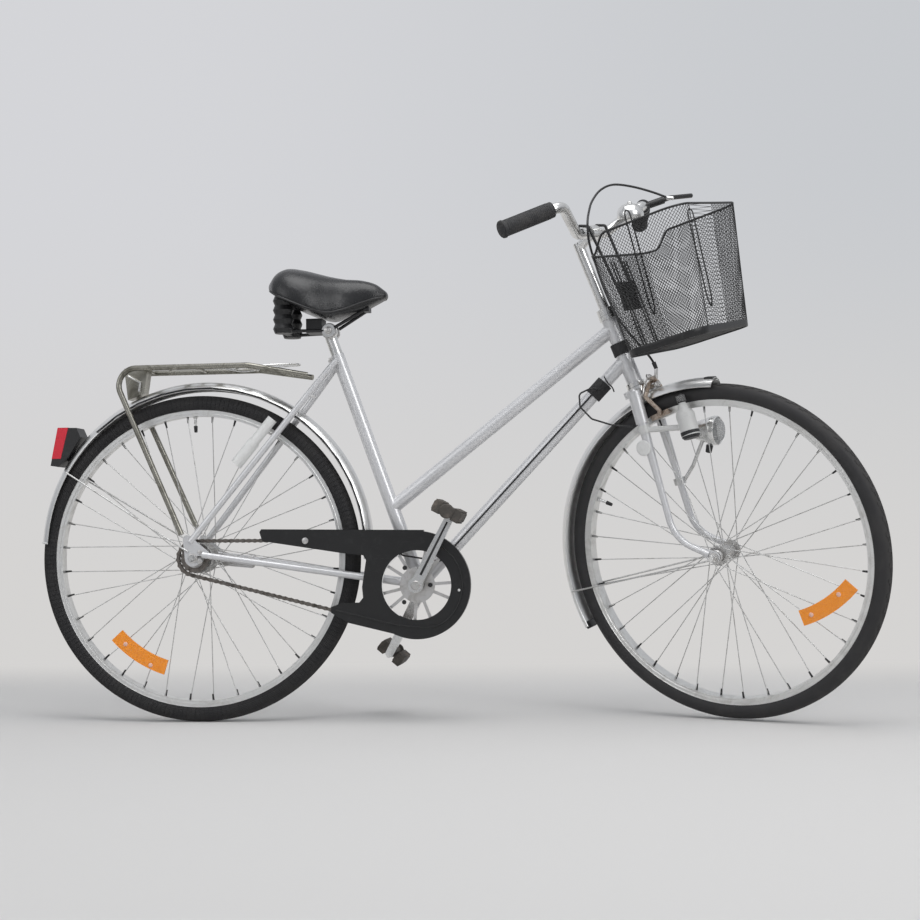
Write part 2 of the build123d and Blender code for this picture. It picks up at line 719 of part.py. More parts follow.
def chainring():
    """Toothed ring on a star of arms, drawn at the bracket."""
    tip = CHAINRING_RADIUS - CHAIN_PLATE_HEIGHT / 2 - 0.6
    ring = toothed_disc(CHAINRING_TEETH, tip - 2.5, tip) - Circle(tip - CHAINRING_BAND)
    arms = Circle(CHAINRING_DISC)
    for index in range(5):
        for side in (-1, 1):
            way = Rot(0, 0, 72 * index + 90 - CRANK_ANGLE + side * CHAINRING_SPLAY)
            arms += way * Pos(tip / 2, 0) * Rectangle(tip, CHAINRING_ARM)
    arms &= Circle(tip - CHAINRING_BAND / 2)
    star = (ring + arms) - Circle(SPINDLE_RADIUS + 6)
    low = -CHAIN_LINE - SPROCKET_THICKNESS / 2
    return Pos(BRACKET) * upright(star, low, low + SPROCKET_THICKNESS)


def sprocket():
    tip = SPROCKET_RADIUS - CHAIN_PLATE_HEIGHT / 2 - 0.6
    disc = toothed_disc(SPROCKET_TEETH, tip - 2.5, tip) - Circle(REAR_HUB_RADIUS * 0.8 + 0.5)
    low = -CHAIN_LINE - SPROCKET_THICKNESS / 2
    return upright(disc, low, low + SPROCKET_THICKNESS)


def crank(side):
    """Crank arm from the spindle to the pedal's eye, drawn at the bracket."""
    inner = side * CRANK_INNER
    outer = side * (CRANK_INNER + CRANK_THICKNESS)
    tilt = radians(90 - CRANK_ANGLE) if side < 0 else radians(270 - CRANK_ANGLE)
    eye = (CRANK_LENGTH * cos(tilt), CRANK_LENGTH * sin(tilt))
    arm = make_hull([Circle(CRANK_ROOT).edge(), (Pos(*eye) * Circle(CRANK_TIP)).edge()])
    arm += Circle(CRANK_BOSS)
    low, high = min(inner, outer), max(inner, outer)
    body = upright(arm, low, high)
    body -= across((0, 0), SPINDLE_RADIUS, -200, 200)
    body -= across(eye, PEDAL_SPINDLE_RADIUS, -200, 200)
    return Pos(BRACKET) * body


def pedal_eye(side):
    """Centre of a pedal's spindle in X and Z."""
    tilt = radians(90 - CRANK_ANGLE) if side < 0 else radians(270 - CRANK_ANGLE)
    return BRACKET.X + CRANK_LENGTH * cos(tilt), BRACKET.Z + CRANK_LENGTH * sin(tilt)


def spindles():
    """Spindle through the bracket and one through each pedal."""
    reach = CRANK_INNER + CRANK_THICKNESS
    bars = [across((BRACKET.X, BRACKET.Z), SPINDLE_RADIUS, -reach, reach)]
    start = CRANK_INNER
    for side in (-1, 1):
        end = CRANK_INNER + CRANK_THICKNESS + PEDAL_GAP + PEDAL_LENGTH - 6
        bars.append(across(pedal_eye(side), PEDAL_SPINDLE_RADIUS, side * start, side * end))
    return Compound(bars)


def pedal(side, tilt):
    """Block pedal: two rubber treads on a centre barrel."""
    inner = side * (CRANK_INNER + CRANK_THICKNESS + PEDAL_GAP)
    outer = side * (CRANK_INNER + CRANK_THICKNESS + PEDAL_GAP + PEDAL_LENGTH)
    low, high = min(inner, outer), max(inner, outer)
    body = across((0, 0), PEDAL_BARREL_RADIUS, low, high)
    web = upright(Rectangle(PEDAL_WIDTH - 10, 5), low, low + 4)
    web += upright(Rectangle(PEDAL_WIDTH - 10, 5), high - 4, high)
    body += web
    for way in (-1, 1):
        block = RectangleRounded(PEDAL_BLOCK, PEDAL_HEIGHT, 6)
        body += upright(Pos(way * (PEDAL_WIDTH - PEDAL_BLOCK) / 2, 0) * block, low, high)
    body -= across((0, 0), PEDAL_SPINDLE_RADIUS + BEARING_GAP, min(0, side * 400), max(0, side * 400))
    eye = pedal_eye(side)
    return Pos(eye[0], 0, eye[1]) * body.rotate(Axis.Y, -tilt)


def brake_arm():
    """Flat arm from the hub to a strap on the left chain stay."""
    inner = REAR_HUB_LENGTH / 2 + 1.0
    arm = make_hull([Circle(14).edge(), (Pos(BRAKE_ARM_REACH, -16) * Circle(8)).edge()])
    body = upright(arm, inner, inner + 3.0)
    body -= across((0, 0), NUT_RADIUS + 0.3, 0, 100)
    start, end = chain_stay_line(1)
    way = (end - start).normalized()
    middle = start + way * ((BRAKE_ARM_REACH - start.X) / way.X)
    strap = rod(middle - way * 7, middle + way * 7, CHAIN_STAY_RADIUS + 2.0)
    return body + strap - chain_stays()


def stay_lock():
    """Two-part lock barrel strapped behind the right seat stay."""
    top, foot = stay_route(-1)[1:]
    way = (top - foot).normalized()
    behind = Vector(-way.Z, 0, way.X).normalized() * (SEAT_STAY_RADIUS + LOCK_RADIUS + LOCK_GAP)
    low = foot + way * LOCK_REACH + behind
    middle = low + way * (LOCK_LENGTH / 2)
    high = low + way * LOCK_LENGTH
    return rod(low, middle, LOCK_RADIUS) + rod(middle, high, LOCK_RADIUS - 2)


# Steering, drawn straight ahead

def blade_route(side):
    """Corners of one fork blade: crown, knee and axle."""
    top = on_head(CROWN_HEIGHT) + Vector(BLADE_TOP_LEAD, side * BLADE_TOP_SPREAD, 2)
    knee = FRONT_AXLE + Vector(-BLADE_KNEE_BACK, side * BLADE_KNEE_SPREAD, BLADE_KNEE_RISE)
    return [top, knee, Vector(WHEELBASE - 10, side * FRONT_DROPOUT, 6)]


def fork_crown():
    """Steerer tube on a crown with a socket for each blade."""
    foot = on_head(CROWN_HEIGHT)
    top = on_head(HEAD_LOW) + HEAD_UP * (HEAD_LENGTH + 24)
    bar = rod(foot, top, STEERER_RADIUS)
    plane = Plane(origin=foot, x_dir=HEAD_FORWARD, z_dir=HEAD_UP)
    block = extrude(plane * RectangleRounded(CROWN_DEPTH, 2 * BLADE_TOP_SPREAD + 16, 12), CROWN_THICKNESS)
    race = rod(on_head(HEAD_LOW) - HEAD_UP * 12, on_head(HEAD_LOW) - HEAD_UP * 9.6, HEAD_TUBE_RADIUS + 3)
    body = bar + block + race
    for side in (-1, 1):
        start, knee, end = blade_route(side)
        way = (knee - start).normalized()
        body += rod(start - way * 10, start + way * BLADE_SOCKET_LENGTH, BLADE_SOCKET_RADIUS)
    bore = rod(foot + HEAD_UP * 70, foot + HEAD_UP * 400, QUILL_RADIUS + 0.1)
    return body - bore


def fork_blades():
    """Two blades, let into the crown's sockets, that curve forward to the axle."""
    blades = []
    for side in (-1, 1):
        start, knee, end = blade_route(side)
        way = (knee - start).normalized()
        seat = start + way * BLADE_SOCKET_LENGTH
        bow = knee - way * 110
        upper = cone_rod(seat, bow, BLADE_RADIUS, BLADE_TIP_RADIUS)
        lower = bent_rod([bow, knee, end], BLADE_TIP_RADIUS, 78)
        blades.append(upper + lower + fork_tip(side))
    return Compound(blades)


def fork_tip(side):
    """Slotted end that holds the front axle."""
    middle = side * FRONT_DROPOUT
    plate = make_hull([Circle(12).edge(), (Pos(-18, 9) * Circle(8)).edge()])
    plate -= Pos(4, -11) * Rectangle(2 * AXLE_RADIUS + 0.6, 24) + Circle(AXLE_RADIUS + 0.3)
    half = DROPOUT_THICKNESS / 2
    return Pos(WHEELBASE, 0, 0) * upright(plate, middle - half, middle + half)


def crown_cover():
    """Dark sleeve round the steerer between the crown and the lower cup."""
    low = on_head(CROWN_HEIGHT) + HEAD_UP * (CROWN_THICKNESS - 9)
    high = on_head(HEAD_LOW) - HEAD_UP * 10.5
    sleeve = rod(low, high, HEAD_TUBE_RADIUS + 5)
    return sleeve - fork_crown() - caliper_bolt(CALIPER_BOLT_RADIUS)


def head_nut():
    """Locking ring and nut above the upper cup."""
    base = on_head(HEAD_LOW) + HEAD_UP * (HEAD_LENGTH + 9.6)
    ring = rod(base, base + HEAD_UP * 14, HEAD_TUBE_RADIUS + 2.5)
    return ring - rod(base - HEAD_UP * 20, base + HEAD_UP * 40, STEERER_RADIUS)


def bar_clamp():
    """Middle of the bar where the stem holds it."""
    return on_head(BAR_CLAMP_HEIGHT) + Vector(STEM_REACH, 0, 0)


def bar_bend(side):
    return bar_clamp() + Vector(BAR_BEND_LEAD, side * BAR_BEND_HALF_WIDTH, BAR_BEND_RISE)


def bar_end(side):
    return bar_clamp() + Vector(-BAR_END_BACK, side * BAR_END_HALF_WIDTH, BAR_END_RISE)


def stem():
    """Quill with a short forward arm that clamps the bar."""
    top = on_head(BAR_CLAMP_HEIGHT - STEM_DROP)
    quill = rod(on_head(HEAD_LOW + 60), top, QUILL_RADIUS)
    centre = (bar_clamp().X, bar_clamp().Z)
    arm = rod(top - HEAD_UP * 10, bar_clamp(), QUILL_RADIUS)
    clamp = across(centre, BAR_RADIUS + 6, -17, 17)
    return quill + arm + clamp - across(centre, BAR_RADIUS, -60, 60)


def bar_route():
    """Corners of the bar from the right end to the left."""
    corners = [bar_end(-1), bar_bend(-1), bar_clamp() + Vector(0, -62, 0)]
    return corners + [Vector(point.X, -point.Y, point.Z) for point in reversed(corners)]


def handlebar():
    """Bar that rises from the clamp and turns back to the grips."""
    return bent_rod(bar_route(), BAR_RADIUS, BAR_BEND_RADIUS)


def grips():
    pieces = []
    for side in (-1, 1):
        end = bar_end(side)
        way = (bar_bend(side) - end).normalized()
        grip = rod(end - way * GRIP_CAP, end + way * GRIP_LENGTH, GRIP_RADIUS)
        pieces.append(grip - rod(end, end + way * 2 * GRIP_LENGTH, BAR_RADIUS))
    return Compound(pieces)


def lever_seat():
    """Where the brake lever's clamp holds the bar, inward of the left grip."""
    end = bar_end(1)
    return end + (bar_bend(1) - end).normalized() * (GRIP_LENGTH + 8)


def brake_lever():
    """Clamp, body and blade of the lever beside the left grip."""
    seat = lever_seat()
    way = (bar_bend(1) - bar_end(1)).normalized()
    front = Vector(0.72, 0.55, 0.24).normalized()
    clamp = rod(seat - way * 7, seat + way * 7, BAR_RADIUS + 4)
    body = rod(seat + front * 8, seat + front * 48, 8)
    blade = bent_rod([seat + front * 42, seat + front * 52 + Vector(6, 14, 3),
                      seat + front * 52 + Vector(22, 86, 6)], 5, 8)
    return clamp + body + blade - handlebar() - grips()


def bell():
    """Domed bell on a strap in front of the bar's left rise."""
    base = bar_clamp() + Vector(43, 100, 40)
    return rod(base, base + Vector(0, 0, 9), 26) + cone_rod(
        base + Vector(0, 0, 9), base + Vector(0, 0, 19), 26, 14) - handlebar()


def basket_block(wall):
    """Tapered block inside a wall thickness, upright about the basket's foot."""
    corner = BASKET_CORNER - wall
    bottom = RectangleRounded(BASKET_BOTTOM_DEPTH - 2 * wall, BASKET_BOTTOM_WIDTH - 2 * wall, corner)
    top = RectangleRounded(BASKET_TOP_DEPTH - 2 * wall, BASKET_TOP_WIDTH - 2 * wall, corner)
    return loft([bottom, Pos(BASKET_TOP_LEAD, 0, BASKET_HEIGHT) * top])


def openings(width, height, across_count, up_count):
    """Grid of openings that leaves bars between them."""
    pitch_x, pitch_y = width / across_count, height / up_count
    grid = None
    for place in GridLocations(pitch_x, pitch_y, across_count, up_count):
        hole = place * Rectangle(pitch_x - BASKET_BAR, pitch_y - BASKET_BAR)
        grid = hole if grid is None else grid + hole
    return grid


def basket():
    """Open basket of crossed bars whose rim dips toward the handlebar."""
    shell = basket_block(0) - Pos(0, 0, BASKET_WALL) * basket_block(BASKET_WALL)
    high = BASKET_HEIGHT
    wide = BASKET_BOTTOM_WIDTH - 2 * BASKET_CORNER
    deep = BASKET_BOTTOM_DEPTH - 2 * BASKET_CORNER
    rise = high - BASKET_DIP - 16
    ends = Plane(origin=(0, 0, rise / 2 + 6), x_dir=(0, 1, 0), z_dir=(1, 0, 0))
    shell -= extrude(ends * openings(wide, rise, 8, 7), BASKET_TOP_DEPTH, both=True)
    sides = Plane(origin=(3, 0, rise / 2 + 6), x_dir=(1, 0, 0), z_dir=(0, -1, 0))
    shell -= extrude(sides * openings(deep, rise, 4, 7), BASKET_TOP_WIDTH, both=True)
    shell -= extrude(openings(deep + 40, wide + 40, 5, 8), 2 * BASKET_WALL, both=True)
    low = high - BASKET_DIP
    back = BASKET_TOP_LEAD - BASKET_TOP_DEPTH / 2
    scoop = Polygon((back + 66, high + 2), (back + 60, high - 4), (back + 22, low), (back - 20, low),
                    (back - 20, high + 2), align=None)
    shell -= upright(scoop, -BASKET_TOP_WIDTH, BASKET_TOP_WIDTH)
    foot = on_head(HEAD_LOW + BASKET_RISE) + Vector(BASKET_LEAD, 0, 0)
    return Pos(foot) * Rot(0, -BASKET_TILT, 0) * shell


def basket_hooks():
    """Two wire hooks over the bar, joined by the plate that the basket hangs on."""
    foot = on_head(HEAD_LOW + BASKET_RISE) + Vector(BASKET_LEAD, 0, 0)
    place = Pos(foot) * Rot(0, -BASKET_TILT, 0)
    back = BASKET_BOTTOM_DEPTH / 2 + 16
    height = BASKET_HEIGHT * 0.52
    piece = place * Pos(-back, 0, height) * Box(6, 70, 60)
    over = BAR_RADIUS + BASKET_HOOK_RADIUS
    for side in (-1, 1):
        top = bar_clamp() + Vector(0, side * 38, over)
        low = (place * Pos(-back, side * 30, height - 10)).position
        piece += bent_rod([top - Vector(over + 2, 0, over + 2), top + Vector(-8, 0, 3),
                           top + Vector(over, 0, 1), low], BASKET_HOOK_RADIUS, 5)
    return piece - basket() - handlebar() - stem()


def lamp_face():
    """Middle of the headlamp's front edge."""
    return FRONT_AXLE + Vector(-LAMP_BACK, LAMP_SIDE, LAMP_HEIGHT)


def headlamp():
    """Lamp shell behind the lens."""
    face = lamp_face()
    collar = face - Vector(10, 0, 0)
    shell = cone_rod(face - Vector(LAMP_DEPTH, 0, 0), collar, LAMP_RADIUS * 0.55, LAMP_RADIUS)
    return shell + rod(collar, face, LAMP_RADIUS)


def headlamp_lens():
    face = lamp_face()
    return cone_rod(face, face + Vector(LAMP_LENS_DEPTH, 0, 0), LAMP_RADIUS - 1.5, LAMP_RADIUS * 0.7)


def blade_at(side, height):
    """Point of a blade's straight stretch at a height above the axles."""
    start, knee, end = blade_route(side)
    way = (knee - start).normalized()
    return start + way * ((height - start.Z) / way.Z)


def headlamp_bracket():
    """Clamp on the left blade with an arm up to the lamp."""
    seat = blade_at(1, LAMP_CLAMP_HEIGHT)
    start, knee, end = blade_route(1)
    way = (knee - start).normalized()
    ring = rod(seat - way * 7, seat + way * 7, BLADE_RADIUS + 2)
    under = lamp_face() + Vector(-LAMP_DEPTH * 0.6, 0, -LAMP_RADIUS * 0.5)
    bend = Vector(seat.X + 28, LAMP_SIDE - 2, seat.Z + 32)
    arm = bent_rod([seat + Vector(8, 4, 0), bend, under], 4, 20)
    return ring + arm - fork_blades() - headlamp()


def dynamo():
    """Bottle dynamo beside the tyre, tilted clear of it, on a strap round the right blade."""
    half = TYRE_WIDTH / 2 + DYNAMO_ROLLER_GAP
    low = beside_tyre(DYNAMO_LOW_ANGLE, DYNAMO_LOW_DROP, -half - DYNAMO_RADIUS - 1.5)
    top = beside_tyre(DYNAMO_TOP_ANGLE, DYNAMO_TOP_DROP, -half - DYNAMO_ROLLER_RADIUS)
    way = (top - low).normalized()
    shoulder = low + way * DYNAMO_LENGTH
    neck = top - way * 8
    body = rod(low, shoulder, DYNAMO_RADIUS) + cone_rod(shoulder, neck, 11, 7)
    body += rod(neck, neck + way * 14, DYNAMO_ROLLER_RADIUS)
    seat = blade_at(-1, low.Z + 12)
    start, knee, end = blade_route(-1)
    along = (knee - start).normalized()
    ring = rod(seat - along * 8, seat + along * 8, BLADE_RADIUS + 3)
    arm = rod(seat + Vector(8, -2, 0), low + way * 18, 6)
    return body + (ring + arm - fork_blades())


def caliper_pivot():
    """Where the caliper's bolt leaves the crown."""
    middle = on_head(CROWN_HEIGHT) + HEAD_UP * (CROWN_THICKNESS / 2)
    return middle + HEAD_FORWARD * (CROWN_DEPTH / 2)


def caliper_bolt(radius):
    """Bolt from the crown's middle out to the front of the caliper."""
    start = caliper_pivot() - HEAD_FORWARD * 2
    return rod(start, start + HEAD_FORWARD * CALIPER_BOLT_LENGTH, radius)


def front_brake():
    """Side-pull caliper over the tyre, on a bolt through the crown."""
    pivot = caliper_pivot()
    radius = RIM_RADIUS - RIM_DEPTH / 2
    pad_x = WHEELBASE + radius * cos(radians(PAD_ANGLE))
    pad_z = radius * sin(radians(PAD_ANGLE))
    inner = RIM_WIDTH / 2 + PAD_GAP
    middle = inner + PAD_THICKNESS / 2
    outer = inner + PAD_THICKNESS + SHOE_THICKNESS
    arms = caliper_bolt(CALIPER_BOLT_RADIUS)
    for side in (-1, 1):
        reach = HEAD_FORWARD * (21 + CALIPER_ARM_RADIUS * side)
        place = Pos(pad_x, 0, pad_z) * Rot(0, 90 - PAD_ANGLE, 0)
        pad = place * Pos(0, side * middle, 0) * Box(PAD_LENGTH, PAD_THICKNESS, PAD_HEIGHT)
        shoe = place * Pos(0, side * (outer - SHOE_THICKNESS / 2), 0)
        shoe = shoe * Box(PAD_LENGTH + 4, SHOE_THICKNESS, PAD_HEIGHT + 2)
        foot = Vector(pad_x, side * (outer + CALIPER_ARM_RADIUS - 1), pad_z)
        arm = bent_rod([pivot + reach + Vector(0, side * -24, 20),
                        pivot + reach + Vector(0, side * 12, 6),
                        pivot + reach + Vector(2, side * 35, -18),
                        foot + Vector(4, side * 4, 10), foot], CALIPER_ARM_RADIUS, 4)
        arms = arms + arm + pad + shoe
    return arms - fork_blades() - fork_crown() - front_fender()


def brake_cable():
    """Cable from the lever, looped above the bar, down to the caliper."""
    bar = bar_clamp()
    low = caliper_pivot()
    hang = bar + Vector(20, -48, -18)
    drop = low + Vector(-45, -10, 148)
    route = [bar + Vector(*step) for step in (
        (96, 168, 67), (72, 150, 80), (41, 118, 94), (15, 84, 100), (0, 54, 90), (-4, 22, 68),
        (6, -14, 46), (19, -48, 20))]
    route += [hang, hang * 0.7 + drop * 0.3 + Vector(-8, 6, 0), hang * 0.36 + drop * 0.64 + Vector(-10, 6, 0)]
    route += [drop] + [low + Vector(*step) for step in ((-9, -2, 98), (15, 6, 64), (25, 8, 42))]
    return bent_rod(route, CABLE_RADIUS, 12)


def lamp_wire_loop():
    """Wire that hangs in a loop from the down tube to the right blade, as the bars rest."""
    foot = on_head(HEAD_LOW)
    steps = ((-71, -22, -13), (-93, -25, -13), (-115, -36, -24), (-113, -46, -52), (-89, -54, -78),
             (-47, -60, -92), (-5, -58, -96))
    return bent_rod([foot + Vector(*step) for step in steps], WIRE_RADIUS, 12)


def lamp_wire_rear():
    """Wire under the down tube, past the bracket and along the rear fender's right edge."""
    offset = TUBE_RADIUS + WIRE_RADIUS + 0.2
    beside = FENDER_WIDTH / 2 + WIRE_RADIUS + 0.3
    reach = FENDER_RADIUS - FENDER_DEPTH + 3
    along = []
    for angle in range(6, 134, 9):
        along.append((REAR_FENDER_SHIFT + reach * cos(radians(angle)), -beside,
                      REAR_FENDER_LIFT + reach * sin(radians(angle))))
    top = on_head(DOWN_TUBE_HEAD_HEIGHT)
    way = (BRACKET - top).normalized()
    start = top + way * 66 + Vector(0, -offset, 2)
    turn = BRACKET + Vector(46, -offset, 48)
    return bent_rod([start, turn, BRACKET + Vector(-34, -offset, 61)] + along, WIRE_RADIUS, 12)


def steered(shape):
    """A piece turned from straight ahead to the angle at which the bars rest."""
    return shape.rotate(STEER_AXIS, STEER_REST)


def wheel_at(shape, front):
    return Pos(WHEELBASE, 0, 0) * shape if front else shape


def all_pieces():
    """Every piece by name, in the bicycle's own place."""
    front_hub = hub(FRONT_FLANGE_RADIUS, FRONT_FLANGE_SPREAD, FRONT_HUB_RADIUS, FRONT_HUB_LENGTH)
    rear_hub = hub(REAR_FLANGE_RADIUS, REAR_FLANGE_SPREAD, REAR_HUB_RADIUS, REAR_HUB_LENGTH)
    fixed = {
        "head_tube": head_tube(),
        "headset_cups": headset_cups(),
        "top_tube": top_tube(),
        "down_tube": down_tube(),
        "seat_tube": seat_tube(),
        "bracket_shell": bracket_shell(),
        "seat_stays": seat_stays(),
        "chain_stays": chain_stays(),
        "rear_axle": axle(REAR_HUB_SPACING, REAR_DROPOUT),
        "seat_post": seat_post(),
        "saddle": saddle(),
        "saddle_springs": saddle_springs(),
        "rear_fender": rear_fender(),
        "rear_fender_stays": fender_stays(
            (-10, REAR_DROPOUT + DROPOUT_THICKNESS / 2 + FENDER_STAY_RADIUS, 14),
            (REAR_FENDER_SHIFT, REAR_FENDER_LIFT), 150),
        "rear_rack": rear_rack(),
        "rack_plate": rack_plate(),
        "rear_lamp_housing": rear_lamp_housing(),
        "rear_lamp_lens": rear_lamp_lens(),
        "chain_guard": chain_guard(),
        "chain": chain(),
        "brake_arm": brake_arm(),
        "stay_lock": stay_lock(),
        "lamp_wire_loop": lamp_wire_loop(),
        "lamp_wire_rear": lamp_wire_rear(),
        "chainring": chainring(),
        "crank_right": crank(-1),
        "crank_left": crank(1),
        "spindles": spindles(),
        "pedal_right": pedal(-1, PEDAL_TILT_RIGHT),
        "pedal_left": pedal(1, PEDAL_TILT_LEFT),
        "sprocket": sprocket(),
        "rear_tyre": tyre(),
        "rear_rim": rim(),
        "rear_hub": rear_hub,
        "rear_spokes": spokes(REAR_FLANGE_RADIUS, REAR_FLANGE_SPREAD),
        "rear_reflector": wheel_reflector(REAR_REFLECTOR_ANGLE, 0, REAR_FLANGE_SPREAD, REAR_FLANGE_RADIUS),
    }
    turned = {
        "fork_crown": fork_crown(),
        "fork_blades": fork_blades(),
        "front_axle": wheel_at(axle(FRONT_HUB_SPACING, FRONT_DROPOUT), True),
        "head_rings": Compound([head_nut(), crown_cover()]),
        "stem": stem(),
        "handlebar": handlebar(),
        "grips": grips(),
        "brake_lever": brake_lever(),
        "bell": bell(),
        "front_fender": front_fender(),
        "front_brake": front_brake(),
        "basket": basket(),
        "basket_hooks": basket_hooks(),
        "headlamp": headlamp(),
        "headlamp_lens": headlamp_lens(),
        "headlamp_bracket": headlamp_bracket(),
        "brake_cable": brake_cable(),
        "front_fender_stays": fender_stays(
            (WHEELBASE - 8, FRONT_DROPOUT + DROPOUT_THICKNESS / 2 + FENDER_STAY_RADIUS, -6),
            (WHEELBASE + FRONT_FENDER_SHIFT, FRONT_FENDER_LIFT), 195),
        "dynamo": dynamo(),
        "front_tyre": wheel_at(tyre(), True),
        "front_rim": wheel_at(rim(), True),
        "front_hub": wheel_at(front_hub, True),
        "front_spokes": wheel_at(spokes(FRONT_FLANGE_RADIUS, FRONT_FLANGE_SPREAD), True),
        "front_reflector": wheel_at(wheel_reflector(
            FRONT_REFLECTOR_ANGLE, FRONT_REFLECTOR_TWIST, FRONT_FLANGE_SPREAD, FRONT_FLANGE_RADIUS), True),
    }
    pieces = dict(fixed)
    for name, shape in turned.items():
        pieces[name] = steered(shape)
    return pieces


def write_parts():
    """Write one file per piece, with the zero point moved to where the rider sits."""
    os.makedirs("parts", exist_ok=True)
    for name, shape in all_pieces().items():
        export_step(Pos(-RIDER) * shape, f"parts/{name}.step")


write_parts()
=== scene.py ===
"""Looks of the step-through bicycle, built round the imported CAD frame.

Places are given in millimetres from the rear axle, as the bicycle is measured, and
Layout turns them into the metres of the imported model.
"""

import json
import logging
import math
from dataclasses import dataclass
from enum import Enum
from typing import Callable, Iterable, Optional, Sequence, Union

import bpy
from mathutils import Matrix, Vector

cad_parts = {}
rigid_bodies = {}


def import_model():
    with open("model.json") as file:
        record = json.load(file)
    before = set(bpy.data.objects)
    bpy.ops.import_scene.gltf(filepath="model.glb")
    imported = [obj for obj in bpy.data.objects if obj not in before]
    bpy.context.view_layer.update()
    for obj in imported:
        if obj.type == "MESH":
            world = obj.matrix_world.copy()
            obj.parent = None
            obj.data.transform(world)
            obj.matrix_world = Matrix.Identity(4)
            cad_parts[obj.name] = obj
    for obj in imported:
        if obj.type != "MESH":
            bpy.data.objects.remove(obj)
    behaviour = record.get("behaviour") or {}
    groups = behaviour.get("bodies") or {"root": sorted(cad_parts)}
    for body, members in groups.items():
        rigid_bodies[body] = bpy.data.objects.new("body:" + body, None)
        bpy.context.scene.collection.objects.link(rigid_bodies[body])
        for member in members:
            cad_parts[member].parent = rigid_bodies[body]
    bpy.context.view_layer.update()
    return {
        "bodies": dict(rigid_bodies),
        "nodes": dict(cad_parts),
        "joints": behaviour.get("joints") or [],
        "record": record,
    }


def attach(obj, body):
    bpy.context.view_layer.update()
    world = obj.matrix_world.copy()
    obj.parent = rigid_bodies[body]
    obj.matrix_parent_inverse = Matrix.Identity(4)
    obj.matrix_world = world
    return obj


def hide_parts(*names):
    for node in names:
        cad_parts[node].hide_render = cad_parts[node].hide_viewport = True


log = logging.getLogger("bicycle")

Point = Sequence[float]
Colour = tuple[float, float, float]


class Body(Enum):
    """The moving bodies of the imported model."""

    FRAME = "frame"
    CRANKS = "crankset"
    RIGHT_PEDAL = "right_pedal"
    LEFT_PEDAL = "left_pedal"
    SPROCKET = "rear_sprocket"
    REAR_WHEEL = "rear_wheel"
    STEERING = "steering"
    FRONT_WHEEL = "front_wheel"


@dataclass(frozen=True)
class Layout:
    """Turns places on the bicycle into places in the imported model."""

    rider: tuple[float, float, float] = (250.0, 0.0, 606.0)
    wheelbase: float = 1112.0
    head_angle: float = 69.0
    fork_offset: float = 42.0
    steer_rest: float = -28.2
    bracket: tuple[float, float] = (474.6, -60.7)
    seat_angle: float = 70.5

    @property
    def head_up(self) -> Vector:
        """Direction of the steering axis."""
        angle = math.radians(self.head_angle)
        return Vector((-math.cos(angle), 0.0, math.sin(angle)))

    @property
    def head_forward(self) -> Vector:
        """Direction ahead of the steering axis, square to it."""
        angle = math.radians(self.head_angle)
        return Vector((math.sin(angle), 0.0, math.cos(angle)))

    @property
    def seat_up(self) -> Vector:
        """Direction of the seat tube."""
        angle = math.radians(self.seat_angle)
        return Vector((-math.cos(angle), 0.0, math.sin(angle)))

    @property
    def steer_point(self) -> Vector:
        """Point of the steering axis level with the fork's offset."""
        return Vector((self.wheelbase, 0.0, 0.0)) - self.head_forward * self.fork_offset

    def on_head(self, height: float) -> Vector:
        """Point of the steering axis at a height above the axles."""
        start = self.steer_point
        return start + self.head_up * ((height - start.z) / self.head_up.z)

    def on_seat(self, height: float) -> Vector:
        """Point of the seat tube's axis at a height above the axles."""
        start = Vector((self.bracket[0], 0.0, self.bracket[1]))
        return start + self.seat_up * ((height - start.z) / self.seat_up.z)

    def fixed(self, place: Point) -> Vector:
        """Place on the frame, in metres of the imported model."""
        return (Vector(place) - Vector(self.rider)) / 1000.0

    def turned(self, place: Point) -> Vector:
        """Place on the steering drawn straight ahead, where it lies at rest."""
        turn = Matrix.Rotation(math.radians(self.steer_rest), 3, self.head_up)
        return self.fixed(turn @ (Vector(place) - self.steer_point) + self.steer_point)

    def turned_way(self, way: Point) -> Vector:
        """Direction on the steering drawn straight ahead, as it lies at rest."""
        return Matrix.Rotation(math.radians(self.steer_rest), 3, self.head_up) @ Vector(way)


LAYOUT = Layout()


# Shader graph

Value = Union["Signal", float, int, Sequence[float]]


class Signal:
    """A shader socket that takes part in ordinary arithmetic."""

    def __init__(self, graph: "Graph", socket: bpy.types.NodeSocket) -> None:
        """Keeps the graph and the output socket."""
        self.graph = graph
        self.socket = socket

    def math(self, operation: str, *others: Value) -> "Signal":
        """Math node of this signal and others."""
        return self.graph.node("ShaderNodeMath", {"operation": operation}, [self, *others])

    def __add__(self, other: Value) -> "Signal":
        """Sum."""
        return self.math("ADD", other)

    __radd__ = __add__

    def __mul__(self, other: Value) -> "Signal":
        """Product."""
        return self.math("MULTIPLY", other)

    __rmul__ = __mul__

    def __sub__(self, other: Value) -> "Signal":
        """Difference."""
        return self.math("SUBTRACT", other)

    def __rsub__(self, other: float) -> "Signal":
        """A number less this signal."""
        return self.graph.node("ShaderNodeMath", {"operation": "SUBTRACT"}, [other, self])

    def __truediv__(self, other: Value) -> "Signal":
        """Quotient."""
        return self.math("DIVIDE", other)

    def __pow__(self, other: float) -> "Signal":
        """Power."""
        return self.math("POWER", other)


